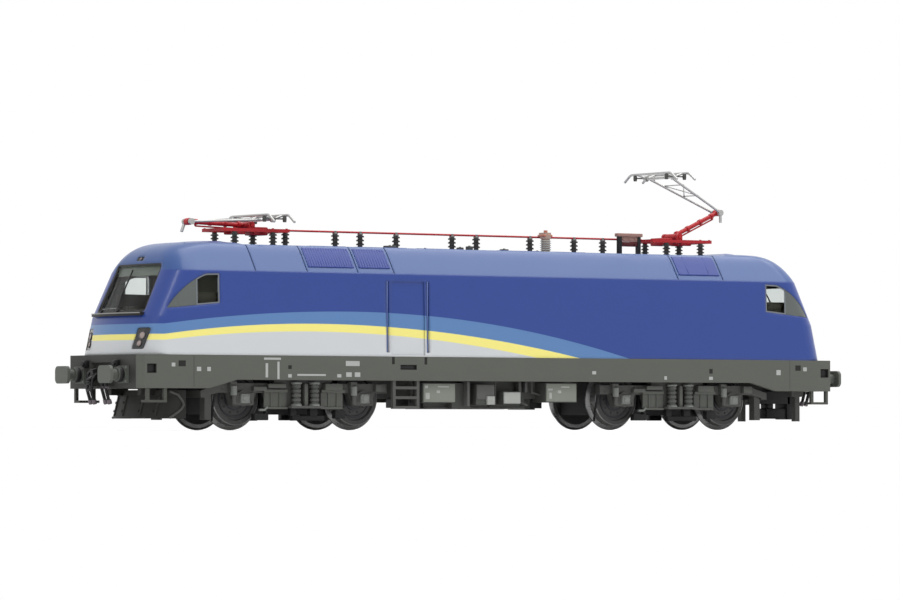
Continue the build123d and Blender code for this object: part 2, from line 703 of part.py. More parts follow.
def collector_head(angle):
    """Collector head: two bowed strips on a pair of bearings."""
    knee, head, upper_angle = arm_points(angle)
    top = head[1] + STRIP_RISE
    with BuildPart() as bow:
        for x in (head[0] - STRIP_X, head[0] + STRIP_X):
            with BuildLine() as run:
                FilletPolyline(
                    (x, -11.2, top - 1.8),
                    (x, -8.6, top),
                    (x, 8.6, top),
                    (x, 11.2, top - 1.8),
                    radius=2.5,
                )
            with BuildSketch(Plane((x, -11.2, top - 1.8), x_dir=(1, 0, 0), z_dir=(0, 2.6, 1.8))):
                Circle(0.32)
            sweep(path=run.line)
            for side in (-1, 1):
                rod((head[0], side * 5.85, head[1]), (x, side * 5.85, top), 0.28)
        for side in (-1, 1):
            rod((head[0], side * 5.5, head[1]), (head[0], side * 6.2, head[1]), 0.75)
        rod((head[0], -7, head[1]), (head[0], 7, head[1]), HEAD_R + RUNNING_FIT, mode=Mode.SUBTRACT)
    return bow.part


save(turned(lower_arm(FOLDED_LOWER)), "lower_arm_1")
save(lower_arm(RAISED_LOWER), "lower_arm_2")
save(turned(upper_arm(FOLDED_LOWER)), "upper_arm_1")
save(upper_arm(RAISED_LOWER), "upper_arm_2")
save(turned(collector_head(FOLDED_LOWER)), "collector_head_1")
save(collector_head(RAISED_LOWER), "collector_head_2")
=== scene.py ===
"""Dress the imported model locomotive: paint, glazing, fittings, running gear trim and a pale studio."""

import json
import math
from functools import partial

import bmesh
import bpy
from bpy.props import FloatProperty, FloatVectorProperty, PointerProperty
from mathutils import Matrix, Vector
from mathutils.bvhtree import BVHTree


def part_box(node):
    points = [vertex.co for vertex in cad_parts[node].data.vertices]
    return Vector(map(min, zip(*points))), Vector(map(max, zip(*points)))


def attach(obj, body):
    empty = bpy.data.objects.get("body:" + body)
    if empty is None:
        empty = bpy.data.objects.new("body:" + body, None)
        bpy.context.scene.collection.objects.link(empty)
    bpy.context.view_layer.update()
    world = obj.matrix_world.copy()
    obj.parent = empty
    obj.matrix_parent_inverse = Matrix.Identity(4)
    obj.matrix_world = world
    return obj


bl_info = {
    "name": "Model Locomotive Dressing",
    "version": (1, 0, 0),
    "blender": (4, 5, 0),
    "location": "View3D > Sidebar > Locomotive",
    "description": "Paint, glazing and small fittings for a model electric locomotive",
    "category": "Object",
}

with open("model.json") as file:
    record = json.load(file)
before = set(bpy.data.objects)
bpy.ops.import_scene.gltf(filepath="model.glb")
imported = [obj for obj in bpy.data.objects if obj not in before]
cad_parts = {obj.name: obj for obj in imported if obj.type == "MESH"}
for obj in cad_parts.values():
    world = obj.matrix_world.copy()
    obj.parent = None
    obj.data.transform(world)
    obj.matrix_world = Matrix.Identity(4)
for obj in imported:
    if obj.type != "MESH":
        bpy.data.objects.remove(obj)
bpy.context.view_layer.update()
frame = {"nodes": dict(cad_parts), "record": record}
NODES = frame["nodes"]
MM = 0.001
BLACK = (0.0, 0.0, 0.0, 1.0)
WHITE = (1.0, 1.0, 1.0, 1.0)
SHINE = 0.25
NODE_SMOOTH = 28.0
PIECE_SMOOTH = 35.0
MERGE = 1e-7

# Both ends: number, and which way it lies along X
ENDS = ((1, -1), (2, 1))
SIDES = (-1, 1)
UP, NEAR = (0, 0, 1), (0, -1, 0)
WHEELSETS = (1, 2, 3, 4)

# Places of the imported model, in millimetres
AHEAD = 118.0
PIVOT_X = 56.9
HALF_BASE = 17.25
SPRING_X, SPRING_Y = 2.6, -14.4
SIDE_FRAME_Y = -13.1
AXLE_COVER_Y = -14.7
WHEEL_FACE_Y = 9.45
EAVES = 38.3
DECK_SEAT = 44.7
SLOPE_LOW, SLOPE_HIGH = 39.5, 44.2
WINDOW_SPLIT = 89.3
BEAM_FACE = 106.1
BUFFER_Y, BUFFER_Z = 10.06, 13.3
BREAKER = (23.3, -2.4)
PANTOGRAPH_X, PANTOGRAPH_Z = 65.25, 49.9
BASE_Y, BASE_Z = 4.6, 48.6
LOWER_ARM = 16.1
HEAD_SPRING_X, HEAD_SPRING_Y = 2.9, 6.7
LINE_SUPPORTS = (-53.5, -38.9, -31.5, -20.8, -3.9, 3.5, 20.1, 33.9, 43.0)

# Corner lamps: distance from the middle, height, radius; then the height and radius of the top lamp
LAMPS = ((12.05, 22.6, 0.8), (11.55, 20.7, 0.68))
TOP_LAMP = (41.15, 0.34)

# Coupling screw: ahead of the middle, to the side, height
COUPLING_LOOP = (
    (107.4, 0.9, 13.6), (108.6, 1.0, 12.2), (108.9, 1.0, 9.6),
    (108.9, -1.0, 9.6), (108.6, -1.0, 12.2), (107.4, -0.9, 13.6),
)

# Panels on the roof slopes of the near side: name, start, end, slats
SLOPE_PANELS = (
    ("roof_grille_a", -56.9, -43.8, 18),
    ("roof_grille_b", -42.2, -33.2, 12),
    ("roof_hatch", 55.6, 68.4, 2),
)
DECK_PLATES = ((-51.0, -40.5), (-37.4, -22.4), (-19.2, -5.4), (5.2, 18.4), (22.0, 32.2))

# Small boxes on the deck: start, end, distance from the middle, top
DECK_BOXES = ((-2.0, -0.7, -4.0, 46.0), (8.4, 10.2, -4.0, 45.5), (-27.5, -24.5, -5.0, 45.6))

# Marks along the sill of the near side: place, height, half length, half height
MARKS = {
    "Plate": (
        (-95.9, 15.6, 0.5, 0.45), (-88.8, 14.6, 0.6, 0.5), (-86.0, 14.6, 0.5, 0.5), (-69.7, 14.4, 0.35, 1.7),
        (-66.4, 14.4, 0.3, 2.1), (-68.1, 17.2, 2.4, 0.25), (-63.1, 13.1, 0.5, 0.4), (-56.9, 13.35, 4.1, 0.22),
        (-48.9, 13.2, 0.6, 0.4), (-45.0, 16.2, 2.0, 0.6), (-46.1, 13.5, 0.8, 0.55), (-43.6, 13.5, 0.8, 0.55),
        (27.7, 14.4, 0.6, 0.4), (50.2, 13.2, 0.4, 0.45), (64.7, 13.2, 0.6, 0.4), (86.7, 14.8, 0.7, 0.65),
        (95.4, 15.7, 0.6, 0.5),
    ),
    # These rows are dark patches on the flat sill, painted as the shade inside holes
    "Hole": (
        (-93.5, 15.9, 1.0, 0.7), (-63.1, 15.2, 0.5, 0.45), (64.7, 15.0, 0.55, 0.6), (93.1, 16.0, 0.9, 0.7),
        (-33.1, 17.0, 0.4, 0.9), (-23.5, 17.0, 0.4, 0.9),
    ),
    "Seam": ((-90.2, 14.6, 0.09, 4.2), (90.4, 14.6, 0.09, 4.2)),
}

# Boxes on a bogie's side frame, from its pivot: start, end, how far out, low, high
BEAM_BOXES = (
    (-11.6, -4.9, 14.2, 9.1, 9.85), (-11.3, -4.9, 13.7, 5.5, 9.2), (-11.0, -4.8, 14.1, 5.1, 5.6),
    (-14.6, -10.9, 14.3, 9.5, 10.5), (-10.6, -5.6, 14.6, 10.2, 11.2), (-9.7, -9.3, 14.0, 5.5, 9.2),
    (-7.2, -6.8, 14.0, 5.5, 9.2), (-0.5, 0.5, 14.9, 5.8, 11.2), (4.9, 11.6, 14.2, 9.1, 9.85),
    (4.9, 11.3, 13.7, 5.5, 9.2), (4.8, 11.0, 14.1, 5.1, 5.6), (5.6, 10.6, 14.8, 9.7, 11.3),
    (6.8, 7.2, 14.0, 5.5, 9.2), (9.3, 9.7, 14.0, 5.5, 9.2), (20.6, 23.4, 14.4, 9.4, 11.2),
)

# Brake gear of the near side, from the pivot: start, end, outside, inside, low, high; then a sand pipe
BRAKE_BOXES = (
    (-13.6, -9.6, -13.0, -11.3, 2.4, 4.0), (-10.4, -9.6, -12.8, -11.5, 3.8, 5.8),
    (9.6, 12.6, -13.0, -11.3, 2.8, 4.8), (-2.6, 6.8, -12.6, -11.2, 2.3, 3.5),
    (-3.2, -1.4, -12.8, -11.4, 3.4, 5.4), (2.4, 4.6, -12.8, -11.4, 3.4, 5.4),
    (8.9, 10.0, -10.0, -8.0, 5.2, 9.4), (-10.0, -8.9, -10.0, -8.0, 5.2, 9.4),
)
SAND_PIPE = ((-24.2, -12.0, 9.2), (-24.2, -10.8, 5.0), (-23.4, -9.2, 2.4))

# Curved rear edge of the plough: place, height
PLOUGH_EDGE = (
    (-94.6, 9.3), (-92.3, 8.5), (-91.0, 6.9), (-90.7, 6.0), (-91.4, 5.0), (-92.5, 4.2), (-94.6, 2.95)
)

# Trim of the underfloor boxes by shade: its finish, then low and high corners
BOX_TRIM = {
    "cover": ("Box cover", (
        (-23.2, -15.8, 6.9, -13.8, -15.5, 11.4), (14.0, -15.8, 7.1, 23.2, -15.5, 11.6),
    )),
    "bright": ("Box bright", (
        (1.1, -15.7, 6.6, 6.1, -15.3, 9.4), (-3.9, -15.6, 6.3, -1.6, -14.9, 8.4),
        (-22.9, -15.88, 10.3, -21.9, -15.6, 11.0), (-22.7, -15.88, 7.6, -21.4, -15.6, 9.2),
        (-19.0, -15.88, 10.5, -15.6, -15.6, 10.9), (-19.4, -15.88, 9.1, -18.3, -15.6, 9.8),
        (14.4, -15.88, 9.9, 15.9, -15.6, 10.4), (14.8, -15.88, 7.8, 15.6, -15.6, 9.4),
        (18.4, -15.88, 10.6, 21.0, -15.6, 11.0), (17.4, -15.88, 9.2, 18.5, -15.6, 10.0),
    )),
    "mid": ("Box grey", (
        (-9.7, -15.2, 5.9, -9.0, -10.9, 12.0), (-6.8, -15.2, 7.6, -1.5, -14.9, 11.2),
        (-19.9, -11.4, 5.25, 10.4, -10.9, 5.65), (7.4, -13.0, 8.6, 8.2, -10.9, 12.0),
        (9.8, -12.4, 9.4, 10.6, -10.9, 12.0),
    )),
    "dark": ("Black plastic", (
        # The second row is a black liner inside the foot slot of the sill, a dark sheet that paints the shade in the
        # slot
        (-24.4, -10.6, 5.5, -19.8, -0.8, 8.0), (-30.9, -16.8, 14.9, -26.3, -16.5, 15.9),
    )),
}
UNDER_PIPES = (
    ((-24.6, -12.6, 12.0), (-24.6, -12.6, 8.8), (-24.0, -10.8, 8.2)),
    ((7.2, -13.4, 11.9), (7.2, -13.4, 7.0), (9.6, -13.4, 6.2), (9.6, -10.8, 6.2)),
    ((11.4, -13.0, 12.0), (11.4, -13.0, 9.4), (13.9, -13.0, 8.8)),
    ((-0.2, -13.6, 11.9), (-0.2, -13.6, 6.4), (-0.2, -10.8, 5.9)),
)

# Moulded finishes: display colour or the name of a setting, mottling, dust and roughness,
# then grain scale, bump, metal and coat where they differ from the usual
FINISHES = {
    "Beam grey": ((98, 100, 95), 0.3, 0.25, 0.5, 2600.0),
    "Beam red": ((92, 30, 30), 0.3, 0.05, 0.42),
    "Black plastic": ((30, 30, 32), 0.3, 0.12, 0.45, 3200.0),
    "Block brown": ((172, 132, 120), 0.25, 0.1, 0.4),
    "Bogie grey": ("bogie_grey", 0.3, 0.25, 0.55, 2600.0),
    "Box black": ((80, 82, 78), 0.3, 0.2, 0.52),
    "Box bright": ((172, 174, 170), 0.15, 0.1, 0.42),
    "Box cover": ((134, 138, 129), 0.15, 0.1, 0.45),
    "Box grey": ((96, 97, 95), 0.2, 0.1, 0.48),
    "Brake black": ((38, 38, 40), 0.35, 0.15, 0.55),
    "Buffer grey": ((94, 98, 92), 0.2, 0.1, 0.5),
    "Cab grey": ("cab_grey", 0.25, 0.1, 0.55, 2400.0),
    # A darker copy of the cab grey: painted shade low in the cab
    "Cab lining shade": ((64, 61, 50), 0.3, 0.1, 0.6, 2400.0),
    "Cap metal": ((120, 116, 114), 0.3, 0.1, 0.4, 2500.0, 0.08, 0.5),
    "Cast metal": ((64, 64, 66), 0.35, 0.2, 0.5, 1600.0, 0.12, 0.4),
    "Ceramic": ("ceramic", 0.2, 0.05, 0.3, 1800.0, 0.03, 0.0, 0.3),
    "Damper grey": ((132, 135, 131), 0.2, 0.15, 0.45),
    "Dark insulator": ((38, 36, 37), 0.25, 0.08, 0.28, 1800.0, 0.03, 0.0, 0.4),
    "Deck blue": ((64, 84, 150), 0.2, 0.1, 0.45, 3600.0),
    "Disc grey": ((70, 69, 74), 0.3, 0.1, 0.5, 2500.0, 0.08, 0.2),
    "Fitting grey": ("fitting_grey", 0.2, 0.15, 0.48, 2800.0),
    "Grille blue": ((58, 74, 146), 0.2, 0.05, 0.42, 3600.0),
    "Hose cock": ((118, 110, 116), 0.3, 0.1, 0.4, 2500.0, 0.08, 0.4),
    "Lamp bezel": ((96, 92, 94), 0.2, 0.0, 0.35, 2500.0, 0.08, 0.3),
    "Lamp cover": ((34, 33, 36), 0.3, 0.0, 0.16, 1500.0, 0.02, 0.0, 0.6),
    "Lamp lens": ((172, 152, 146), 0.3, 0.0, 0.12, 1500.0, 0.02, 0.0, 0.8),
    "Ledge edge": ((150, 151, 148), 0.15, 0.0, 0.4),
    "Pale ceramic": ((196, 199, 190), 0.15, 0.05, 0.3, 1800.0, 0.03, 0.0, 0.3),
    "Plough black": ((40, 40, 38), 0.3, 0.25, 0.5),
    "Plough edge": ((58, 58, 55), 0.3, 0.2, 0.5),
    # The grab rails are body blue, painted lighter here as a painted highlight for their sheen
    "Rail sheen blue": ((98, 116, 174), 0.1, 0.0, 0.35),
    "Roof gear red": ("gear_red", 0.2, 0.05, 0.4, 3000.0, 0.05),
    "Spring cup": ((84, 84, 82), 0.3, 0.05, 0.4, 2500.0, 0.08, 0.4),
    "Spring grey": ((92, 94, 90), 0.25, 0.1, 0.48),
    "Step grey": ((76, 78, 73), 0.25, 0.15, 0.52),
    "Strip silver": ("strip_silver", 0.25, 0.0, 0.34, 4200.0, 0.05, 0.6),
    "Sun blind": ((120, 126, 118), 0.15, 0.0, 0.5),
    "Terminal salmon": ((200, 128, 108), 0.2, 0.0, 0.4),
    "Window frame grey": ((122, 127, 134), 0.15, 0.0, 0.4),
    "Window panel grey": ((92, 98, 96), 0.12, 0.0, 0.3, 2500.0, 0.08, 0.0, 0.3),
}

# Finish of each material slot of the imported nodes, then of the nodes that differ from their slot
SLOT_FINISHES = {
    "lamp_glass": "Lamp cover", "bogie_grey": "Bogie grey", "fitting_grey": "Fitting grey", "black": "Black plastic",
    "interior_grey": "Cab grey", "cast_metal": "Cast metal", "pantograph_red": "Roof gear red",
    "pantograph_silver": "Strip silver", "insulator_beige": "Ceramic",
}
NODE_FINISHES = {
    "roof_insulators": "Dark insulator", "grab_rails": "Rail sheen blue", "corner_steps": "Step grey",
    "buffers_1": "Buffer grey", "buffers_2": "Buffer grey", "suspension_1": "Spring grey",
    "suspension_2": "Spring grey", "plough_1": "Plough black", "underfloor_cases": "Box black",
}


def paint(red, green, blue):
    """Linear colour of an 8-bit display colour."""
    return tuple((c / 255 / 12.92) if c <= 10 else ((c / 255 + 0.055) / 1.055) ** 2.4 for c in (red, green, blue))


def mm(x, y, z):
    """Point given in millimetres."""
    return Vector((x, y, z)) * MM


def colour(label, text, red, green, blue):
    """Colour property with a display-colour default."""
    return FloatVectorProperty(
        name=label, description=text, subtype="COLOR", size=3, min=0.0, max=1.0, default=paint(red, green, blue)
    )


def length(label, text, size):
    """Length property with a default in millimetres."""
    return FloatProperty(name=label, description=text, default=size * MM, unit="LENGTH", precision=5)


def power(label, text, watts):
    """Light power property."""
    return FloatProperty(name=label, description=text, default=watts, unit="POWER")


class LiveryColours(bpy.types.PropertyGroup):
    """Paint colours of the locomotive."""

    deep_blue: colour("Deep blue", "Upper body sides", 42, 67, 140)
    # The roof is the same paint as the sides, painted lighter and greener here as a painted highlight for the light
    # from above
    roof_highlight_blue: colour("Roof blue", "Roof slopes and deck", 46, 80, 140)
    light_blue: colour("Light blue", "Band above the yellow line", 88, 127, 178)
    line_yellow: colour("Yellow line", "Thin line under the light band", 241, 231, 132)
    pale_grey: colour("Pale grey", "Lower body side", 202, 205, 208)
    sill_grey: colour("Sill grey", "Side sills and buffer beams", 92, 94, 88)
    bogie_grey: colour("Bogie grey", "Bogies and underfloor gear", 88, 89, 86)
    fitting_grey: colour("Fitting grey", "Dampers, springs and small cases", 128, 130, 128)
    cab_grey: colour("Cab grey", "Cab interior", 108, 107, 94)
    gear_red: colour("Roof gear red", "Pantograph base and roof line", 190, 42, 48)
    strip_silver: colour("Strip silver", "Upper arms and collector strips", 186, 186, 184)
    ceramic: colour("Ceramic", "Breaker insulator", 186, 158, 142)


class FittingSizes(bpy.types.PropertyGroup):
    """Sizes of the small fittings."""

    seal_width: length("Seal width", "Rubber seal round the glass", 0.3)
    seal_height: length("Seal height", "How far seals stand off the glass", 0.12)
    bolt_radius: length("Bolt radius", "Hexagon bolts on the running gear", 0.28)
    wiper_radius: length("Wiper thickness", "Radius of the wiper arms", 0.2)
    louvre_radius: length("Louvre thickness", "Radius of the roof slats", 0.15)


class StudioSettings(bpy.types.PropertyGroup):
    """Camera and light of the studio."""

    lens: FloatProperty(name="Lens", description="Focal length", default=196.36, unit="CAMERA")
    key_energy: power("Key light", "Soft light above the near side", 1.2)
    fill_energy: power("Fill light", "Soft light ahead of the cab", 0.5)
    top_energy: power("Top light", "Soft light above the roof", 9.5)
    floor_colour: colour("Floor", "Pale studio floor", 244, 244, 243)


def colours():
    """Paint colours in use."""
    return bpy.context.scene.loco_colours


def sizes():
    """Fitting sizes in use."""
    return bpy.context.scene.loco_sizes


# Shader groups and materials


def wire(tree, source, target):
    """Link a socket or set a plain value."""
    if isinstance(source, bpy.types.NodeSocket):
        tree.links.new(source, target)
    elif target.type == "RGBA":
        target.default_value = (*source[:3], 1.0)
    else:
        target.default_value = source


def fill(tree, inputs, values):
    """Link or set several inputs."""
    for label, value in values.items():
        wire(tree, value, inputs[label])


def new_group(name, inputs, outputs):
    """Empty shader group with colour and value sockets, told apart by their starting values."""
    group = bpy.data.node_groups.new(name, "ShaderNodeTree")
    for way, sockets in (("INPUT", inputs), ("OUTPUT", outputs)):
        for label, value in sockets.items():
            kind = "NodeSocketColor" if isinstance(value, tuple) else "NodeSocketFloat"
            group.interface.new_socket(name=label, in_out=way, socket_type=kind).default_value = value
    return group, group.nodes.new("NodeGroupInput").outputs, group.nodes.new("NodeGroupOutput").inputs


def place_group(tree, group, values):
    """Outputs of a shader group that is placed in a material."""
    node = tree.nodes.new("ShaderNodeGroup")
    node.node_tree = group
    fill(tree, node.inputs, values)
    return node.outputs


def maths(tree, operation, first, second=None, third=None, clamp=False):
    """Math node result."""
    node = tree.nodes.new("ShaderNodeMath")
    node.operation = operation
    node.use_clamp = clamp
    for value, socket in zip((first, second, third), node.inputs):
        if value is not None:
            wire(tree, value, socket)
    return node.outputs[0]


def vectors(tree, operation, values):
    """Vector Math node result."""
    node = tree.nodes.new("ShaderNodeVectorMath")
    node.operation = operation
    fill(tree, node.inputs, values)
    return node.outputs["Value" if operation in ("LENGTH", "DOT_PRODUCT") else "Vector"]


def mix(tree, share, first, second):
    """Colour mix result."""
    node = tree.nodes.new("ShaderNodeMix")
    node.data_type = "RGBA"
    fill(tree, node.inputs, {0: share, 6: first, 7: second})
    return node.outputs[2]


def coordinates(tree, kind="Object"):
    """Object coordinates or another texture coordinate of the piece."""
    return tree.nodes.new("ShaderNodeTexCoord").outputs[kind]


def split(tree, vector):
    """X, Y and Z of a vector."""
    node = tree.nodes.new("ShaderNodeSeparateXYZ")
    wire(tree, vector, node.inputs[0])
    return node.outputs


def noise(tree, vector, scale, detail=3.0):
    """Noise value between 0 and 1."""
    node = tree.nodes.new("ShaderNodeTexNoise")
    fill(tree, node.inputs, {"Vector": vector, "Scale": scale, "Detail": detail})
    return node.outputs["Fac"]


def relief(tree, height, strength, distance):
    """Bumped normal."""
    node = tree.nodes.new("ShaderNodeBump")
    fill(tree, node.inputs, {"Height": height, "Strength": strength, "Distance": distance * MM})
    return node.outputs["Normal"]


def surface_group():
    """Fine mottling, dust that gathers on upper faces, and a grained height."""
    name = "Moulded surface"
    if name in bpy.data.node_groups:
        return bpy.data.node_groups[name]
    group, start, end = new_group(
        name,
        {"Colour": BLACK, "Mottle": 0.1, "Dust": 0.1, "Roughness": 0.5, "Grain scale": 2500.0},
        {"Colour": BLACK, "Roughness": 0.5, "Height": 0.0},
    )
    calc, blend = partial(maths, group), partial(mix, group)
    place = coordinates(group)
    broad = noise(group, place, 90.0)
    grain = noise(group, place, start["Grain scale"], 4.0)
    spread = calc("MULTIPLY_ADD", broad, 0.7, calc("MULTIPLY", grain, 0.3))
    dark = blend(start["Mottle"], start["Colour"], BLACK)
    mottled = blend(spread, dark, start["Colour"])
    upward = calc("MAXIMUM", split(group, coordinates(group, "Normal"))["Z"], 0.0)
    lit = calc("MULTIPLY", upward, start["Dust"])
    dusty = blend(calc("MULTIPLY", lit, broad), mottled, (0.42, 0.41, 0.39))
    rough = calc("MULTIPLY_ADD", calc("SUBTRACT", spread, 0.5), 0.25, start["Roughness"])
    fill(group, end, {"Colour": dusty, "Roughness": rough, "Height": grain})
    return group


def principled(name):
    """New material, its tree and its shader."""
    material = bpy.data.materials.new(name)
    material.use_nodes = True
    tree = material.node_tree
    return material, tree, tree.nodes["Principled BSDF"]


def moulded(name, shade, mottle, dust, roughness, grain=2500.0, bump=0.08, metallic=0.0, coat=0.0):
    """Material with the shared moulded surface, in a plain colour or one that a function makes in its tree."""
    material, tree, shader = principled(name)
    surface = place_group(tree, surface_group(), {
        "Colour": shade(tree) if callable(shade) else shade,
        "Mottle": mottle,
        "Dust": dust,
        "Roughness": roughness,
        "Grain scale": grain,
    })
    fill(tree, shader.inputs, {
        "Base Color": surface["Colour"],
        "Roughness": surface["Roughness"],
        "Normal": relief(tree, surface["Height"], bump, 0.1),
        "Metallic": metallic,
        "Coat Weight": coat,
        "Specular IOR Level": SHINE,
    })
    return material


def finish(name):
    """Moulded finish by its name, made once."""
    if name not in bpy.data.materials:
        shade, *rest = FINISHES[name]
        moulded(name, getattr(colours(), shade) if isinstance(shade, str) else paint(*shade), *rest)
    return bpy.data.materials[name]


def livery_group():
    """Paint scheme of the body: curved bands on the sides, the same on both by half a turn, a roof painted lighter
    as a painted highlight, dark inside.
    """
    labels = ("Deep blue", "Roof blue", "Light blue", "Yellow", "Pale grey", "Inside")
    group, start, end = new_group("Livery bands", dict.fromkeys(labels, BLACK), {"Colour": BLACK})
    calc, blend = partial(maths, group), partial(mix, group)
    place = vectors(group, "SCALE", {0: coordinates(group), "Scale": 1 / MM})
    x, y, z = split(group, place)
    side = calc("LESS_THAN", y, calc("MULTIPLY", calc("SIGN", x), -14.0))
    facing = calc("MULTIPLY_ADD", side, 2.0, -1.0)
    along = calc("MAXIMUM", calc("MULTIPLY", x, facing), -98.0)

    def above(height, left, right, crown):
        """Soft mask of what lies above a flat arch whose two sides bend by their own amount."""
        offset = calc("ADD", along, crown)
        bend = calc("MULTIPLY_ADD", calc("LESS_THAN", offset, 0.0), right - left, -right)
        edge = calc("MULTIPLY_ADD", calc("MULTIPLY", offset, offset), bend, height + 1.1)
        return calc("MULTIPLY_ADD", calc("SUBTRACT", z, edge), 12.0, 0.5, clamp=True)

    outer = start["Pale grey"]
    for label, arch in (
        ("Yellow", (22.76, 0.00139, 0.00132, 56.6)),
        ("Light blue", (24.64, 0.00155, 0.00126, 55.1)),
        ("Deep blue", (27.7, 0.00122, 0.00155, 44.7)),
    ):
        outer = blend(above(*arch), outer, start[label])
    # Above the eaves the body takes the roof colour: a painted highlight, the side paint made lighter for the light
    # from above
    outer = blend(calc("GREATER_THAN", z, EAVES), outer, start["Roof blue"])
    clamp = group.nodes.new("ShaderNodeClamp")
    fill(group, clamp.inputs, {"Value": x, "Min": -70.0, "Max": 70.0})
    middle = group.nodes.new("ShaderNodeCombineXYZ")
    fill(group, middle.inputs, {0: clamp.outputs[0], 2: 30.0})
    outward = vectors(group, "SUBTRACT", {0: place, 1: middle.outputs[0]})
    facing_out = vectors(group, "DOT_PRODUCT", {0: outward, 1: coordinates(group, "Normal")})
    inside = calc("LESS_THAN", facing_out, -0.6)
    wire(group, blend(inside, outer, start["Inside"]), end["Colour"])
    return group


def livery_colour(tree):
    """Banded colour of the body."""
    return place_group(tree, livery_group(), {
        "Deep blue": colours().deep_blue,
        "Roof blue": colours().roof_highlight_blue,
        "Light blue": colours().light_blue,
        "Yellow": colours().line_yellow,
        "Pale grey": colours().pale_grey,
        "Inside": colours().cab_grey,
    })["Colour"]


def livery_paint():
    """Satin body paint with the curved bands and soft edges."""
    material = moulded("Body paint", livery_colour, 0.05, 0.05, 0.34, 4200.0, 0.02, coat=0.25)
    tree = material.node_tree
    soft_edge = tree.nodes.new("ShaderNodeBevel")
    soft_edge.samples = 6
    soft_edge.inputs["Radius"].default_value = 1.1 * MM
    wire(tree, soft_edge.outputs["Normal"], tree.nodes["Bump"].inputs["Normal"])
    tree.nodes["Principled BSDF"].inputs["Coat Roughness"].default_value = 0.14
    return material


def window_plastic():
    """Tinted clear plastic with faint smears."""
    material, tree, shader = principled("Window plastic")
    smear = noise(tree, coordinates(tree), 260.0)
    fill(tree, shader.inputs, {
        "Base Color": (0.80, 0.83, 0.82),
        "Roughness": maths(tree, "MULTIPLY_ADD", smear, 0.05, 0.02),
        "Transmission Weight": 1.0,
        "IOR": 1.12,
        "Specular IOR Level": 0.9,
    })
    return material


def wheel_metal(number, centre):
    """Turned wheel: bright tread and flange, blackened disc, brushed round the axle."""
    material, tree, shader = principled(f"Wheel metal {number}")
    mapping = tree.nodes.new("ShaderNodeMapping")
    fill(tree, mapping.inputs, {"Location": -centre, "Vector": coordinates(tree)})
    place = mapping.outputs[0]
    radius = vectors(tree, "LENGTH", {0: vectors(tree, "MULTIPLY", {0: place, 1: (1.0, 0.0, 1.0)})})
    tread = maths(tree, "GREATER_THAN", radius, 6.32 * MM)
    lines = maths(tree, "SINE", maths(tree, "MULTIPLY", radius, 26000.0))
    grain = noise(tree, place, 1800.0)
    dark = mix(tree, grain, paint(62, 62, 62), paint(90, 90, 89))
    bright = mix(tree, grain, paint(128, 128, 128), paint(166, 166, 165))
    rough = maths(tree, "MULTIPLY_ADD", grain, 0.15, 0.42)
    fill(tree, shader.inputs, {
        "Base Color": mix(tree, tread, dark, bright),
        "Metallic": maths(tree, "MULTIPLY_ADD", tread, 0.6, 0.05),
        "Roughness": maths(tree, "MULTIPLY_ADD", tread, -0.2, rough),
        "Normal": relief(tree, lines, 0.08, 0.05),
        "Specular IOR Level": SHINE,
    })
    return material


def marks_group():
    """Small blank plates along both sills and dark patches painted as the shade in holes, the same on both by half a
    turn, and painted shade on faces turned to the front.
    """
    labels = ("Colour", *MARKS, "Front")
    group, start, end = new_group("Sill marks", dict.fromkeys(labels, BLACK), {"Colour": BLACK})
    calc, blend = partial(maths, group), partial(mix, group)
    x, y, z = split(group, vectors(group, "SCALE", {0: coordinates(group), "Scale": 1 / MM}))
    along = calc("MULTIPLY", x, calc("MULTIPLY", calc("SIGN", y), -1.0))
    outside = calc("GREATER_THAN", calc("ABSOLUTE", y), 17.1)
    result = start["Colour"]
    for kind, rows in MARKS.items():
        mask = 0.0
        for place, height, half_length, half_height in rows:
            within = calc("COMPARE", along, place, half_length)
            mask = calc("MULTIPLY_ADD", within, calc("COMPARE", z, height, half_height), mask)
        result = blend(calc("MULTIPLY", mask, outside), result, start[kind])
    # Faces turned to the front, the ends of the buffer beams, get a darker grey: painted shade
    ahead = calc("ABSOLUTE", split(group, coordinates(group, "Normal"))["X"])
    wire(group, blend(calc("GREATER_THAN", ahead, 0.9), result, start["Front"]), end["Colour"])
    return group


def sill_colour(tree):
    """Grey of the sills and beams, with small plates, painted shade in holes and painted shade on the front faces.
    """
    return place_group(tree, marks_group(), {
        "Colour": colours().sill_grey,
        "Plate": paint(176, 178, 176),
        "Hole": paint(28, 28, 26),
        "Seam": paint(66, 68, 63),
        "Front": paint(60, 61, 58),
    })["Colour"]


# Mesh helpers, with points and sizes in millimetres unless the scene's settings give them


def box(bm, first, second, edge):
    """Box between two opposite corners, its edges eased."""
    low, high = (mm(*map(pick, first, second)) for pick in (min, max))
    spot = Matrix.Translation((low + high) / 2) @ Matrix.Diagonal((*(high - low), 1.0))
    made = bmesh.ops.create_cube(bm, size=1.0, matrix=spot)
    edges = list(dict.fromkeys(e for v in made["verts"] for e in v.link_edges))
    bmesh.ops.bevel(
        bm, geom=edges, offset=edge * MM, offset_type="OFFSET", affect="EDGES", segments=2, profile=0.5, material=-1
    )


def along_axis(start, end):
    """Frame at start whose Z runs to end, and the length."""
    direction = end - start
    turn = direction.to_track_quat("Z", "Y").to_matrix().to_4x4()
    return Matrix.Translation(start) @ turn, direction.length


def rod(bm, start, end, radius, sides=12):
    """Round bar between two points."""
    spot, reach = along_axis(mm(*start), mm(*end))
    middle = spot @ Matrix.Translation((0, 0, reach / 2))
    bmesh.ops.create_cone(
        bm, cap_ends=True, segments=sides, radius1=radius * MM, radius2=radius * MM, depth=reach, matrix=middle
    )


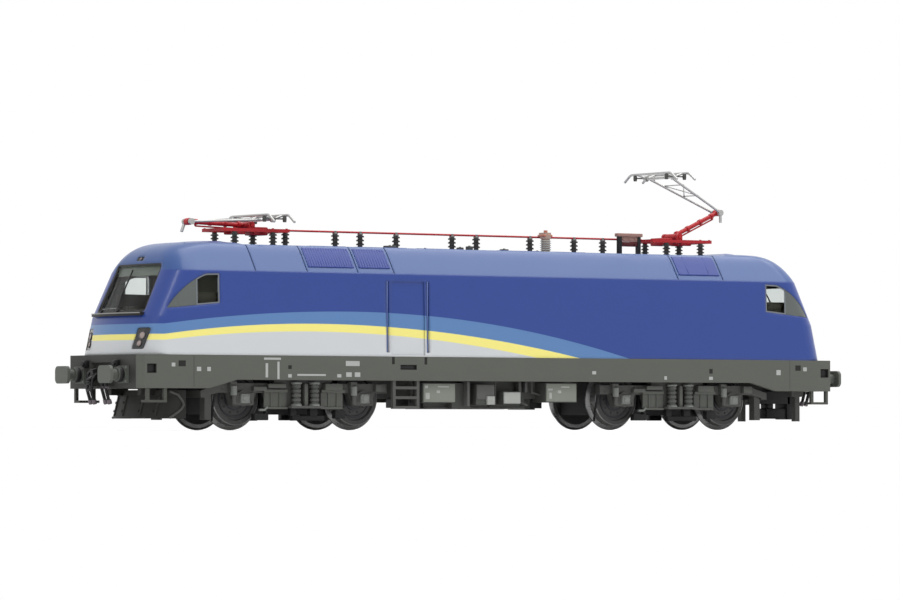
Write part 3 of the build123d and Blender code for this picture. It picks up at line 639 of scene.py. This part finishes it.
def turned(bm, outline, start, direction, sides=24):
    """Closed turned shape: outline of (height, radius) about an axis from start."""
    outline = list(outline)
    if outline[0][1] > 0 and outline[-1][1] > 0:
        outline.append(outline[0])
    elif outline[0][1] > 0:
        outline.insert(0, (outline[0][0], 0.0))
    elif outline[-1][1] > 0:
        outline.append((outline[-1][0], 0.0))
    before = set(bm.verts)
    verts = [bm.verts.new((radius * MM, 0.0, height * MM)) for height, radius in outline]
    edges = [bm.edges.new(pair) for pair in zip(verts, verts[1:])]
    bmesh.ops.spin(
        bm, geom=verts + edges, cent=(0, 0, 0), axis=(0, 0, 1), angle=2 * math.pi, steps=sides, use_merge=True
    )
    bmesh.ops.remove_doubles(bm, verts=[v for v in bm.verts if v not in before], dist=MERGE)
    shape = [v for v in bm.verts if v not in before]
    spot, reach = along_axis(mm(*start), mm(*start) + Vector(direction))
    bmesh.ops.transform(bm, matrix=spot, verts=shape)
    bmesh.ops.recalc_face_normals(bm, faces=list(dict.fromkeys(f for v in shape for f in v.link_faces)))


def bolt(bm, centre, direction, radius=None, height=0.22):
    """Hexagon bolt head standing on a face."""
    start = Vector(centre)
    top = start + Vector(direction).normalized() * height
    rod(bm, start, top, radius or sizes().bolt_radius / MM, 6)


def bent_rod(bm, points, radius):
    """Round bar along several points, with a ball at each bend."""
    for start, end in zip(points, points[1:]):
        rod(bm, start, end, radius, 10)
    for point in points[1:-1]:
        bmesh.ops.create_icosphere(bm, subdivisions=2, radius=radius * MM, matrix=Matrix.Translation(mm(*point)))


def smooth(mesh, degrees):
    """Shade smooth, with creases past an angle."""
    mesh.shade_smooth()
    mesh.set_sharp_from_angle(angle=math.radians(degrees))


def piece(name, bm, material, body="body"):
    """Turn a bmesh into a named piece with a finish, riding on a body."""
    mesh = bpy.data.meshes.new(name)
    bm.normal_update()
    bm.to_mesh(mesh)
    bm.free()
    obj = bpy.data.objects.new(name, mesh)
    bpy.context.scene.collection.objects.link(obj)
    mesh.materials.append(finish(material))
    smooth(mesh, PIECE_SMOOTH)
    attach(obj, body)


def coat_node(name, material):
    """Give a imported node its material."""
    mesh = NODES[name].data
    mesh.materials.clear()
    mesh.materials.append(material)


def skin(node, keep):
    """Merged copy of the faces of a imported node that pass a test."""
    bm = bmesh.new()
    bm.from_mesh(NODES[node].data)
    bmesh.ops.remove_doubles(bm, verts=bm.verts, dist=MERGE)
    bm.normal_update()
    bmesh.ops.delete(bm, geom=[f for f in bm.faces if not keep(f)], context="FACES")
    return bm


def everything(bm):
    """All vertices, edges and faces."""
    return list(bm.verts) + list(bm.edges) + list(bm.faces)


def cut_off(bm, point, normal):
    """Remove what lies on the far side of a plane."""
    bmesh.ops.bisect_plane(bm, geom=everything(bm), plane_co=mm(*point), plane_no=normal, clear_outer=True)


def raise_skin(bm, lift, thickness):
    """Lift a sheet of faces off its surface and give it thickness, both in metres."""
    bm.normal_update()
    for vert in bm.verts:
        vert.co += vert.normal * lift
    top = bmesh.ops.extrude_face_region(bm, geom=list(bm.faces))
    for vert in top["geom"]:
        if isinstance(vert, bmesh.types.BMVert):
            vert.co += vert.normal * thickness
    bmesh.ops.recalc_face_normals(bm, faces=bm.faces)


def border(bm, width):
    """Keep only a border of the sheet along its edge, its width in metres."""
    ring = bmesh.ops.inset_region(bm, faces=list(bm.faces), thickness=width, use_boundary=True, use_even_offset=True)
    keep = set(ring["faces"])
    bmesh.ops.delete(bm, geom=[f for f in bm.faces if f not in keep], context="FACES")


def touch(node, start, direction):
    """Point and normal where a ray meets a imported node."""
    bm = bmesh.new()
    bm.from_mesh(NODES[node].data)
    tree = BVHTree.FromBMesh(bm)
    bm.free()
    spot, normal, face, reach = tree.ray_cast(mm(*start), Vector(direction))
    if spot is None:
        raise RuntimeError(f"No face of {node} lies on that line")
    return spot / MM, normal


def add_turned(bm):
    """Add a copy of everything so far, half a turn about the upright axis."""
    copied = bmesh.ops.duplicate(bm, geom=everything(bm))
    verts = [g for g in copied["geom"] if isinstance(g, bmesh.types.BMVert)]
    bmesh.ops.rotate(bm, cent=(0, 0, 0), matrix=Matrix.Rotation(math.pi, 3, "Z"), verts=verts)


# Operators


class LOCO_OT_paint_nodes(bpy.types.Operator):
    """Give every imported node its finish"""

    bl_idname = "loco.paint_nodes"
    bl_label = "Paint the Locomotive"

    def execute(self, context):
        materials = {slot: finish(name) for slot, name in SLOT_FINISHES.items()}
        materials["body_blue"] = livery_paint()
        materials["window_glass"] = window_plastic()
        materials["sill_grey"] = moulded("Sill grey", sill_colour, 0.16, 0.12, 0.52, 3000.0)
        for entry in frame["record"]["subparts"]:
            if entry["material_slot"] in materials:
                coat_node(entry["node"], materials[entry["material_slot"]])
        for name, material in NODE_FINISHES.items():
            coat_node(name, finish(material))
        for number in WHEELSETS:
            name = f"wheelset_{number}"
            low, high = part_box(name)
            coat_node(name, wheel_metal(number, (low + high) / 2))
        for obj in NODES.values():
            smooth(obj.data, NODE_SMOOTH)
        return {"FINISHED"}


class LOCO_OT_glazing_trim(bpy.types.Operator):
    """Seals, sun blinds and side window panels"""

    bl_idname = "loco.glazing_trim"
    bl_label = "Glazing Trim"

    def execute(self, context):
        for number, end in ENDS:
            outer = skin(f"windscreen_{number}", lambda f: f.normal.x * end > 0.3)
            border(outer, sizes().seal_width * 1.3)
            raise_skin(outer, 0.0, sizes().seal_height)
            piece(f"windscreen_seal_{number}", outer, "Black plastic")
            shade = skin(f"windscreen_{number}", lambda f: f.normal.x * end < -0.3)
            cut_off(shade, (0, 0, 37.0), (0, 0, -1))
            raise_skin(shade, 0.12 * MM, 0.15 * MM)
            piece(f"sun_blind_{number}", shade, "Sun blind")
            panels = self.pane(number, end, -end)
            raise_skin(panels, 0.02 * MM, 0.1 * MM)
            piece(f"side_window_panels_{number}", panels, "Window panel grey")
            rims = self.pane(number, end, end)
            border(rims, 0.3 * MM)
            raise_skin(rims, 0.0, 0.14 * MM)
            piece(f"side_window_frames_{number}", rims, "Window frame grey")
        return {"FINISHED"}

    def pane(self, number, end, away):
        """Outer faces of the side windows on one side of their post."""
        bm = skin(
            f"side_windows_{number}",
            lambda f: f.normal.y * f.calc_center_median().y > 0 and abs(f.normal.y) > 0.35,
        )
        cut_off(bm, (end * WINDOW_SPLIT, 0, 0), (away, 0, 0))
        return bm


class LOCO_OT_cab_trim(bpy.types.Operator):
    """Desks and lower linings seen through the cab glass, in a darker copy of the cab grey that paints the shade low
    in the cab
    """

    bl_idname = "loco.cab_trim"
    bl_label = "Cab Trim"

    def execute(self, context):
        for number, end in ENDS:
            bm = bmesh.new()
            for side in SIDES:
                box(bm, (end * 82.6, side * 14.7, 29.6), (end * 92.4, side * 15.25, 33.0), 0.1)
            box(bm, (end * 92.2, -13.0, 26.6), (end * 96.6, 13.0, 28.9), 0.3)
            for y in (-8.4, -5.6, 3.4, 6.2):
                box(bm, (end * 92.9, y, 28.8), (end * 94.6, y + 2.1, 29.8), 0.2)
            piece(f"cab_lining_shade_{number}", bm, "Cab lining shade")
        return {"FINISHED"}


class LOCO_OT_front_trim(bpy.types.Operator):
    """Lamp lenses, wipers, ledge edges and the gear on the buffer beams"""

    bl_idname = "loco.front_trim"
    bl_label = "Front Trim"

    def execute(self, context):
        for number, end in ENDS:
            self.lamps(number, end)
            self.wipers(number, end)
            rim = skin(f"front_ledge_{number}", lambda f: f.normal.x * end > 0.3)
            cut_off(rim, (0, 0, 27.86), (0, 0, -1))
            raise_skin(rim, 0.01 * MM, 0.06 * MM)
            piece(f"ledge_edge_{number}", rim, "Ledge edge")
            self.beam_gear(number, end)
        shank = bmesh.new()
        box(shank, (94.6, -2.2, 2.9), (102.6, 2.2, 5.6), 0.3)
        box(shank, (101.0, -2.6, 2.7), (103.0, 2.6, 9.4), 0.3)
        box(shank, (95.4, -1.5, 5.4), (97.4, 1.5, 7.0), 0.2)
        piece("coupler_shank_2", shank, "Black plastic")
        return {"FINISHED"}

    def lamps(self, number, end):
        """Two round lamps in each corner cover and one at the top."""
        rings, glasses = bmesh.new(), bmesh.new()
        places = [(side * y, z, radius) for side in SIDES for y, z, radius in LAMPS]
        for y, z, r in (*places, (0.0, *TOP_LAMP)):
            spot, normal = touch(f"lamps_{number}", (end * AHEAD, y, z), (-end, 0, 0))
            turned(rings, [(-0.1, r * 1.3), (0.16, r * 1.3), (0.22, r * 1.18), (0.06, r * 0.98)], spot, normal)
            turned(
                glasses, [(-0.1, r), (0.04, r), (0.14, r * 0.72), (0.18, r * 0.35), (0.19, 0)], spot, normal
            )
        piece(f"lamp_bezels_{number}", rings, "Lamp bezel")
        piece(f"lamp_lenses_{number}", glasses, "Lamp lens")

    def wipers(self, number, end):
        """Two wiper arms with blades on the windscreen."""
        bm = bmesh.new()
        radius = sizes().wiper_radius / MM

        def on_glass(*places):
            return [touch(f"windscreen_{number}", (end * AHEAD, y, z), (-end, 0, 0)) for y, z in places]

        for foot, head in ((8.0, 9.3), (-0.6, 1.6)):
            arm = on_glass((foot, 28.5), (head, 34.0))
            blade = on_glass((head - 0.9, 29.4), (head + 0.1, 38.4))
            bent_rod(bm, [spot + normal * 0.45 for spot, normal in arm], radius)
            bent_rod(bm, [spot + normal * 0.2 for spot, normal in blade], radius * 0.9)
            turned(bm, [(0, 0), (0, 0.5), (0.4, 0.5), (0.55, 0.3), (0.55, 0)], *arm[0], 12)
        piece(f"wipers_{number}", bm, "Black plastic")

    def beam_gear(self, number, end):
        """Buffer bolts, coupling screw, sockets and hose heads."""
        bolts, gear, heads = bmesh.new(), bmesh.new(), bmesh.new()
        ahead = (end, 0, 0)
        for side in SIDES:
            for y, z in ((-1.6, -1.6), (1.6, -1.6), (-1.6, 1.6), (1.6, 1.6)):
                bolt(bolts, (end * 105.7, side * BUFFER_Y + y, BUFFER_Z + z), ahead)
            collar = [(0, 1.78), (0.5, 1.95), (0.9, 1.95), (1.2, 1.78)]
            turned(gear, collar, (end * BEAM_FACE, side * BUFFER_Y, BUFFER_Z), ahead)
        bent_rod(gear, [(end * x, y, z) for x, y, z in COUPLING_LOOP], 0.32)
        for z in (11.0, 11.6, 12.2):
            box(gear, (end * 108.0, -0.7, z - 0.2), (end * 109.4, 0.7, z + 0.2), 0.1)
        for y in (-7.2, 7.2):
            box(gear, (end * 105.0, y - 0.8, 15.0), (end * 106.3, y + 0.8, 16.8), 0.2)
            socket = [(0, 0.62), (0.5, 0.62), (0.6, 0.5), (0.6, 0)]
            turned(gear, socket, (end * 106.2, y, 15.9), ahead, 14)
        for y in (-4.4, -2.6, 2.6, 4.4):
            cock = [(0, 0), (0, 0.62), (0.9, 0.62), (1.1, 0.45), (1.1, 0)]
            turned(heads, cock, (end * 103.9, y, 14.0), ahead, 14)
            coupling = [(0, 0), (0, 0.55), (0.8, 0.6), (1.1, 0.48), (1.1, 0)]
            turned(heads, coupling, (end * BEAM_FACE, y, 7.3), (-end * 0.3, 0, -1), 14)
            box(heads, (end * 106.3, y - 0.55, 10.0), (end * 107.2, y + 0.55, 10.5), 0.1)
        for side in SIDES:
            box(gear, (end * 100.7, side * 16.25, 13.7), (end * 103.1, side * 16.6, 15.7), 0.1)
        piece(f"buffer_bolts_{number}", bolts, "Fitting grey")
        piece(f"coupling_gear_{number}", gear, "Black plastic")
        piece(f"hose_heads_{number}", heads, "Hose cock")


class LOCO_OT_roof_trim(bpy.types.Operator):
    """Grilles on the roof slopes, deck plates and the high-voltage fittings"""

    bl_idname = "loco.roof_trim"
    bl_label = "Roof Trim"

    def execute(self, context):
        for panel in SLOPE_PANELS:
            self.slope_panel("near", 1, *panel)
            self.slope_panel("far", -1, *panel)
        plates, boxes = bmesh.new(), bmesh.new()
        for x0, x1 in DECK_PLATES:
            box(plates, (x0, -7.4, DECK_SEAT), (x1, 7.4, 45.05), 0.1)
        for x0, x1, y, top in DECK_BOXES:
            box(boxes, (x0, y - 0.8, DECK_SEAT), (x1, y + 0.8, top), 0.15)
            bolt(boxes, ((x0 + x1) / 2, y, top - 0.05), UP)
        add_turned(boxes)
        piece("roof_plates", plates, "Deck blue")
        piece("roof_boxes", boxes, "Bogie grey")
        self.high_voltage()
        return {"FINISHED"}

    def slope_panel(self, side, turn, name, x0, x1, slats):
        """Raised panel with slats on one roof slope."""
        panel = skin(
            "body_shell",
            lambda f: f.normal.z > 0.2 and f.normal.y * turn < -0.2 and f.calc_center_median().z > 38.0 * MM,
        )
        cut_off(panel, (turn * x0, 0, 0), (-turn, 0, 0))
        cut_off(panel, (turn * x1, 0, 0), (turn, 0, 0))
        cut_off(panel, (0, 0, SLOPE_LOW), (0, 0, -1))
        cut_off(panel, (0, 0, SLOPE_HIGH), (0, 0, 1))
        low, high = self.slope(turn, x0, SLOPE_LOW + 0.1), self.slope(turn, x0, SLOPE_HIGH - 0.2)
        raise_skin(panel, 0.02 * MM, 0.12 * MM)
        for step in range(slats):
            x = turn * (x0 + (x1 - x0) * (step + 0.5) / slats)
            rod(panel, (x, low.y, low.z), (x, high.y, high.z), sizes().louvre_radius / MM, 8)
        rod(panel, (turn * x0, low.y, low.z), (turn * x1, low.y, low.z), 0.2, 8)
        piece(f"{name}_{side}", panel, "Grille blue")

    def slope(self, turn, x, z):
        """Point on the roof slope at a height."""
        spot, normal = touch("body_shell", (turn * (x + 1.0), -turn * 30.0, z), (0, turn, 0))
        return spot + normal * 0.1

    def high_voltage(self):
        """Caps of the line supports, breaker sheds, terminals and the disconnector's block."""
        x, y = BREAKER
        caps, sheds, top, block, beam = (bmesh.new() for _ in range(5))
        for place in LINE_SUPPORTS:
            turned(caps, [(0, 0.7), (0.25, 0.7), (0.45, 0.45), (0.85, 0.4), (0.85, 0)], (place, 0, 48.3), UP, 16)
            turned(caps, [(0, 0), (0, 1.3), (0.3, 1.3), (0.4, 1.1)], (place, 0, 44.78), UP, 16)
        piece("insulator_caps", caps, "Cap metal")
        for step in range(6):
            turned(sheds, [(0, 1.12), (0.05, 1.45), (0.16, 1.45), (0.34, 1.12)], (x, y, 45.0 + 0.55 * step), UP)
        piece("breaker_sheds", sheds, "Pale ceramic")
        box(top, (21.9, -3.6, 48.9), (24.7, -0.7, 49.5), 0.2)
        rod(top, (x, y, 49.4), (x, y, 50.6), 0.5, 16)
        bent_rod(top, [(x, -1.2, 49.6), (x, 0.0, 49.6), (x, 0.0, 48.9)], 0.24)
        bent_rod(top, [(53.0, -3.0, 49.9), (53.4, -1.5, 49.5), (53.4, 0.0, 48.9)], 0.24)
        piece("high_voltage_terminals", top, "Terminal salmon")
        box(block, (45.1, -3.7, 49.5), (53.1, -2.3, 50.36), 0.12)
        box(block, (46.5, -3.35, 48.2), (51.7, -2.65, 49.6), 0.1)
        for place in (47.2, 49.1, 51.0):
            bolt(block, (place, -3.3, 48.9), NEAR)
        box(beam, (46.5, -3.4, 47.0), (51.7, -2.6, 48.15), 0.12)
        for place in (47.4, 50.8):
            bolt(beam, (place, -3.35, 47.6), NEAR)
        piece("disconnector_block", block, "Block brown")
        piece("disconnector_beam", beam, "Beam red")


class LOCO_OT_bogie_trim(bpy.types.Operator):
    """Beams, axle covers, dampers, brake gear and pipes of the bogies"""

    bl_idname = "loco.bogie_trim"
    bl_label = "Bogie Trim"

    def execute(self, context):
        for number, end in ENDS:
            for name, shape, slot, material in (
                ("bogie_beams", self.beams, "bogie_grey", "Beam grey"),
                ("axle_covers", self.covers, "fitting_grey", "Damper grey"),
                ("brake_gear", self.brakes, "black", "Brake black"),
                ("bogie_bolts", self.bolts, "bogie_grey", "Bogie grey"),
            ):
                bm = bmesh.new()
                shape(bm)
                add_turned(bm)
                bmesh.ops.translate(bm, vec=mm(end * PIVOT_X, 0, 0), verts=bm.verts)
                piece(f"{name}_{number}", bm, material, f"bogie_{number}")
        return {"FINISHED"}

    def beams(self, bm):
        """Flanges, webs and plates on the near side frame."""
        for x0, x1, y, z0, z1 in BEAM_BOXES:
            box(bm, (x0, -y, z0), (x1, SIDE_FRAME_Y, z1), 0.12)

    def covers(self, bm):
        """Axle-box covers and dampers."""
        for axle in (-HALF_BASE, HALF_BASE):
            box(bm, (axle - 1.25, -14.75, 6.5), (axle + 1.25, -13.6, 8.8), 0.25)
            cap = [(0, 0), (0, 0.8), (0.2, 0.8), (0.32, 0.6), (0.32, 0)]
            turned(bm, cap, (axle, AXLE_COVER_Y, 7.65), NEAR, 18)
            for x in (-0.95, 0.95):
                for z in (6.8, 8.5):
                    bolt(bm, (axle + x, AXLE_COVER_Y, z), NEAR, 0.17)
            damper = [(0, 0), (0, 0.7), (0.1, 0.8), (2.2, 0.8), (2.4, 0.5), (2.4, 0)]
            turned(bm, damper, (axle - 3.1, -14.3, 8.4), UP, 16)
        for x in (-SPRING_X, SPRING_X):
            turned(bm, [(0, 0), (0, 1.35), (0.3, 1.35), (0.45, 1.1)], (x, SPRING_Y, 5.85), UP, 20)
            turned(bm, [(0, 1.1), (0.15, 1.35), (0.5, 1.35), (0.5, 0)], (x, SPRING_Y, 11.05), UP, 20)
        bent_rod(bm, [(-13.0, -14.0, 4.9), (-11.4, -14.0, 4.9), (-10.6, -14.0, 5.6)], 0.28)

    def brakes(self, bm):
        """Brake blocks, rail brake and a sand pipe."""
        for x0, x1, y0, y1, z0, z1 in BRAKE_BOXES:
            box(bm, (x0, y0, z0), (x1, y1, z1), 0.2)
        bent_rod(bm, SAND_PIPE, 0.3)

    def bolts(self, bm):
        """Bolt rows along the side frame, axle-box plates and damper rods."""
        for x in (-22.8, -13.4, -12.2, 12.2, 13.4, 22.8):
            for z in (9.6, 10.8):
                bolt(bm, (x, SIDE_FRAME_Y - 0.05, z), NEAR)
        for axle in (-HALF_BASE, HALF_BASE):
            box(bm, (axle - 2.9, -14.0, 6.0), (axle + 2.9, SIDE_FRAME_Y, 9.1), 0.3)
            for x in (-2.3, 2.3):
                bolt(bm, (axle + x, -13.95, 6.7), NEAR)
            rod(bm, (axle - 3.1, -14.3, 6.2), (axle - 3.1, -14.3, 8.5), 0.55)


class LOCO_OT_wheel_trim(bpy.types.Operator):
    """Rings and bolts on the wheel discs"""

    bl_idname = "loco.wheel_trim"
    bl_label = "Wheel Trim"

    def execute(self, context):
        for number in WHEELSETS:
            low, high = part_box(f"wheelset_{number}")
            centre = (low + high) / 2 / MM
            bm = bmesh.new()
            for side in SIDES:
                start, out = (centre.x, side * WHEEL_FACE_Y, centre.z), (0, side, 0)
                turned(bm, [(0, 4.7), (0.22, 4.6), (0.22, 4.2), (0, 4.1)], start, out, 40)
                turned(bm, [(0, 2.9), (0.35, 2.8), (0.5, 2.2), (0, 2.1)], start, out, 32)
                for step in range(10):
                    angle = step * math.pi / 5
                    x, z = centre.x + 3.5 * math.cos(angle), centre.z + 3.5 * math.sin(angle)
                    bolt(bm, (x, side * WHEEL_FACE_Y, z), out, 0.24, 0.25)
            piece(f"wheel_rings_{number}", bm, "Disc grey", f"wheelset_{number}")
        return {"FINISHED"}


class LOCO_OT_underfloor_trim(bpy.types.Operator):
    """Covers, latches and pipes of the underfloor boxes"""

    bl_idname = "loco.underfloor_trim"
    bl_label = "Underfloor Trim"

    def execute(self, context):
        for shade, (material, rows) in BOX_TRIM.items():
            bm = bmesh.new()
            for row in rows:
                box(bm, row[:3], row[3:], 0.12)
            add_turned(bm)
            piece(f"case_trim_{shade}", bm, material)
        pipes = bmesh.new()
        for path in UNDER_PIPES:
            bent_rod(pipes, path, 0.24)
        add_turned(pipes)
        piece("underfloor_pipes", pipes, "Bogie grey")
        return {"FINISHED"}


class LOCO_OT_plough_trim(bpy.types.Operator):
    """Ribs, bolts and edge of the plough"""

    bl_idname = "loco.plough_trim"
    bl_label = "Plough Trim"

    def execute(self, context):
        bm = skin("plough_1", lambda f: f.normal.x < -0.3 and f.calc_center_median().z < 9.5 * MM)
        cut_off(bm, (0, 0, 8.3), (0, 0, -1))
        raise_skin(bm, 0.01 * MM, 0.2 * MM)
        for y in (-9.5, -4.0, 4.0, 9.5):
            ribs = [touch("plough_1", (-AHEAD, y, z), (1, 0, 0)) for z in (3.4, 8.6)]
            rod(bm, *[spot + normal * 0.05 for spot, normal in ribs], 0.25, 8)
            for z in (4.6, 6.6):
                bolt(bm, *touch("plough_1", (-AHEAD, y + 1.2, z), (1, 0, 0)))
        piece("plough_ribs", bm, "Plough edge")
        rail = bmesh.new()
        for side in SIDES:
            bent_rod(rail, [(x, side * 13.35, z) for x, z in PLOUGH_EDGE], 0.3)
        piece("plough_edges", rail, "Bogie grey")
        return {"FINISHED"}


class LOCO_OT_pantograph_trim(bpy.types.Operator):
    """Drive boxes, clamps, braces and spring cups of the pantographs"""

    bl_idname = "loco.pantograph_trim"
    bl_label = "Pantograph Trim"

    def execute(self, context):
        for number, end in ENDS:
            pivot = Vector((end * PANTOGRAPH_X, 0.0, PANTOGRAPH_Z))
            knee = self.knee(number, end, pivot)
            self.drive(number, end, pivot.x)
            self.lower(number, pivot, knee)
            self.upper(number, end, knee)
            self.head(number)
        return {"FINISHED"}

    def knee(self, number, end, pivot):
        """Knee pivot, from the lower arm's box and length."""
        low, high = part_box(f"lower_arm_{number}")
        reach = (high.x if end > 0 else low.x) / MM - end * 0.85
        return Vector((reach, 0.0, pivot.z + math.sqrt(LOWER_ARM ** 2 - (reach - pivot.x) ** 2)))

    def drive(self, number, end, x):
        """Drive boxes, stays and bolts on the base frame."""
        bm = bmesh.new()
        box(bm, (x - end * 5.4, -2.2, 47.5), (x - end * 1.3, 2.2, 49.5), 0.25)
        for side in SIDES:
            box(bm, (x + end * 1.2, side * 1.1, 47.6), (x + end * 4.6, side * 2.3, 49.1), 0.2)
            rod(bm, (x - end * 9.4, side * BASE_Y, BASE_Z), (x - end * 1.4, side * 1.9, BASE_Z), 0.3)
            for reach in (-9.2, -5.25, 5.75, 8.6):
                bolt(bm, (x + end * reach, side * BASE_Y, 48.95), UP)
        piece(f"pantograph_drive_{number}", bm, "Roof gear red")

    def lower(self, number, pivot, knee):
        """Clamps along the lower arm."""
        bm = bmesh.new()
        line = (knee - pivot).normalized()
        for reach, radius in ((1.4, 0.85), (5.2, 0.72), (9.6, 0.72), (13.6, 0.72)):
            clamp = [(0, 0.5), (0, radius), (0.7, radius), (0.7, 0.5)]
            turned(bm, clamp, pivot + line * reach, line, 16)
        piece(f"lower_arm_clamps_{number}", bm, "Roof gear red", f"pantograph_{number}_lower")

    def upper(self, number, end, knee):
        """Cross braces that lie on the tubes of the upper arm."""
        bm = bmesh.new()
        low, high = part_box(f"collector_head_{number}")
        head = Vector(((low.x + high.x) / 2 / MM, 0.0, high.z / MM - 1.32))
        lift = Vector((0.0, end, 0.0)).cross((head - knee).normalized()) * 0.32
        for shares in ((0.46, 0.46), (0.46, 0.76), (0.76, 0.46), (0.76, 0.76)):
            ends = []
            for side, share in zip(SIDES, shares):
                spot = knee.lerp(head, share) + lift
                ends.append(Vector((spot.x, side * (1.5 + 3.3 * share), spot.z)))
            rod(bm, *ends, 0.16, 8)
        piece(f"upper_arm_braces_{number}", bm, "Strip silver", f"pantograph_{number}_upper")

    def head(self, number):
        """Spring cups under the collector strips."""
        bm = bmesh.new()
        low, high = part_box(f"collector_head_{number}")
        x, top = (low.x + high.x) / 2 / MM, high.z / MM
        cup = [(0, 0), (0, 0.42), (0.5, 0.5), (1.3, 0.5), (1.5, 0.36), (1.5, 0)]
        for y in (-HEAD_SPRING_Y, HEAD_SPRING_Y):
            for reach in (-HEAD_SPRING_X, HEAD_SPRING_X):
                turned(bm, cup, (x + reach, y, top - 2.0), UP, 14)
            rod(bm, (x - HEAD_SPRING_X, y, top - 1.2), (x + HEAD_SPRING_X, y, top - 1.2), 0.18, 8)
        piece(f"head_springs_{number}", bm, "Spring cup", f"pantograph_{number}_head")


class LOCO_OT_studio(bpy.types.Operator):
    """Camera, soft lights and pale floor"""

    bl_idname = "loco.studio"
    bl_label = "Studio"

    def execute(self, context):
        settings = context.scene.loco_studio
        camera = bpy.data.cameras.new("Camera")
        camera.lens = settings.lens
        camera.sensor_width = 36.0
        camera.clip_start = 0.002
        camera.clip_end = 100.0
        context.scene.camera = self.put(camera, (-0.70201, -1.01323, 0.0011), (0.56705, 0.82368, 0.0256))
        for name, energy, spot, goal, width in (
            ("Key light", settings.key_energy, (-0.61, -0.43, 0.65), (-0.05, 0.0, 0.04), 0.2),
            ("Front light", settings.fill_energy, (-1.0, -0.25, 0.35), (-0.05, 0.0, 0.03), 0.6),
            ("Top light", settings.top_energy, (0.3, -0.08, 0.85), (0.0, 0.0, 0.03), 1.0),
        ):
            lamp = bpy.data.lights.new(name, "AREA")
            lamp.energy = energy
            lamp.size = width
            self.put(lamp, spot, Vector(goal) - Vector(spot))
        bm = bmesh.new()
        bmesh.ops.create_grid(bm, x_segments=8, y_segments=8, size=3.0)
        mesh = bpy.data.meshes.new("Floor")
        bm.to_mesh(mesh)
        bm.free()
        floor = bpy.data.objects.new("Floor", mesh)
        floor.location = (0, 0, -0.00005)
        context.scene.collection.objects.link(floor)
        mesh.materials.append(self.floor_material(settings.floor_colour))
        context.scene.world = self.white_world()
        context.scene.view_settings.view_transform = "Standard"
        return {"FINISHED"}

    def put(self, data, spot, aim):
        """Link a camera or light that looks along a direction."""
        obj = bpy.data.objects.new(data.name, data)
        obj.location = spot
        obj.rotation_euler = Vector(aim).to_track_quat("-Z", "Y").to_euler()
        bpy.context.scene.collection.objects.link(obj)
        return obj

    def white_world(self):
        """White all round, half as strong for diffuse light."""
        world = bpy.data.worlds.new("Studio")
        world.use_nodes = True
        tree = world.node_tree
        path = tree.nodes.new("ShaderNodeLightPath").outputs
        mirrored = maths(tree, "MAXIMUM", path["Is Glossy Ray"], path["Is Transmission Ray"])
        seen = maths(tree, "MAXIMUM", path["Is Camera Ray"], mirrored)
        strength = maths(tree, "MULTIPLY_ADD", seen, 0.5, 0.5)
        fill(tree, tree.nodes["Background"].inputs, {"Color": WHITE, "Strength": strength})
        return world

    def floor_material(self, pale):
        """Pale floor that fades to plain white for the camera, away from the model."""
        material, tree, shader = principled("Studio floor")
        place = coordinates(tree)
        grain = maths(tree, "MULTIPLY", noise(tree, place, 40.0), 0.03)
        fill(tree, shader.inputs, {
            "Base Color": mix(tree, grain, pale, (0.7, 0.7, 0.7)),
            "Roughness": 0.9,
        })
        fade = tree.nodes.new("ShaderNodeMapRange")
        fade.interpolation_type = "SMOOTHSTEP"
        distance = vectors(tree, "LENGTH", {0: place})
        fill(tree, fade.inputs, {"Value": distance, "From Min": 0.14, "From Max": 0.34})
        seen = tree.nodes.new("ShaderNodeLightPath").outputs["Is Camera Ray"]
        white = tree.nodes.new("ShaderNodeEmission")
        wire(tree, WHITE, white.inputs["Color"])
        both = tree.nodes.new("ShaderNodeMixShader")
        share = maths(tree, "MULTIPLY", fade.outputs["Result"], seen)
        fill(tree, both.inputs, {0: share, 1: shader.outputs[0], 2: white.outputs[0]})
        wire(tree, both.outputs[0], tree.nodes["Material Output"].inputs["Surface"])
        return material


class LOCO_PT_dressing(bpy.types.Panel):
    """Steps that dress the locomotive"""

    bl_idname = "LOCO_PT_dressing"
    bl_label = "Locomotive"
    bl_space_type = "VIEW_3D"
    bl_region_type = "UI"
    bl_category = "Locomotive"

    def draw(self, context):
        for step in STEPS:
            self.layout.operator(step.bl_idname)
        for name in SETTINGS:
            group = getattr(context.scene, name)
            area = self.layout.box()
            for label in group.__annotations__:
                area.prop(group, label)


SETTINGS = {"loco_colours": LiveryColours, "loco_sizes": FittingSizes, "loco_studio": StudioSettings}
STEPS = (
    LOCO_OT_paint_nodes,
    LOCO_OT_glazing_trim,
    LOCO_OT_cab_trim,
    LOCO_OT_front_trim,
    LOCO_OT_roof_trim,
    LOCO_OT_bogie_trim,
    LOCO_OT_wheel_trim,
    LOCO_OT_underfloor_trim,
    LOCO_OT_plough_trim,
    LOCO_OT_pantograph_trim,
    LOCO_OT_studio,
)
CLASSES = (*SETTINGS.values(), *STEPS, LOCO_PT_dressing)


def register():
    """Add the classes and the scene's settings."""
    for cls in CLASSES:
        bpy.utils.register_class(cls)
    for name, group in SETTINGS.items():
        setattr(bpy.types.Scene, name, PointerProperty(type=group))


def unregister():
    """Take the settings and classes away again."""
    for name in SETTINGS:
        delattr(bpy.types.Scene, name)
    for cls in reversed(CLASSES):
        bpy.utils.unregister_class(cls)


def main():
    """Register and run every step in order."""
    register()
    for step in STEPS:
        family, action = step.bl_idname.split(".")
        getattr(getattr(bpy.ops, family), action)()
    bpy.context.view_layer.update()


if __name__ == "__main__":
    main()
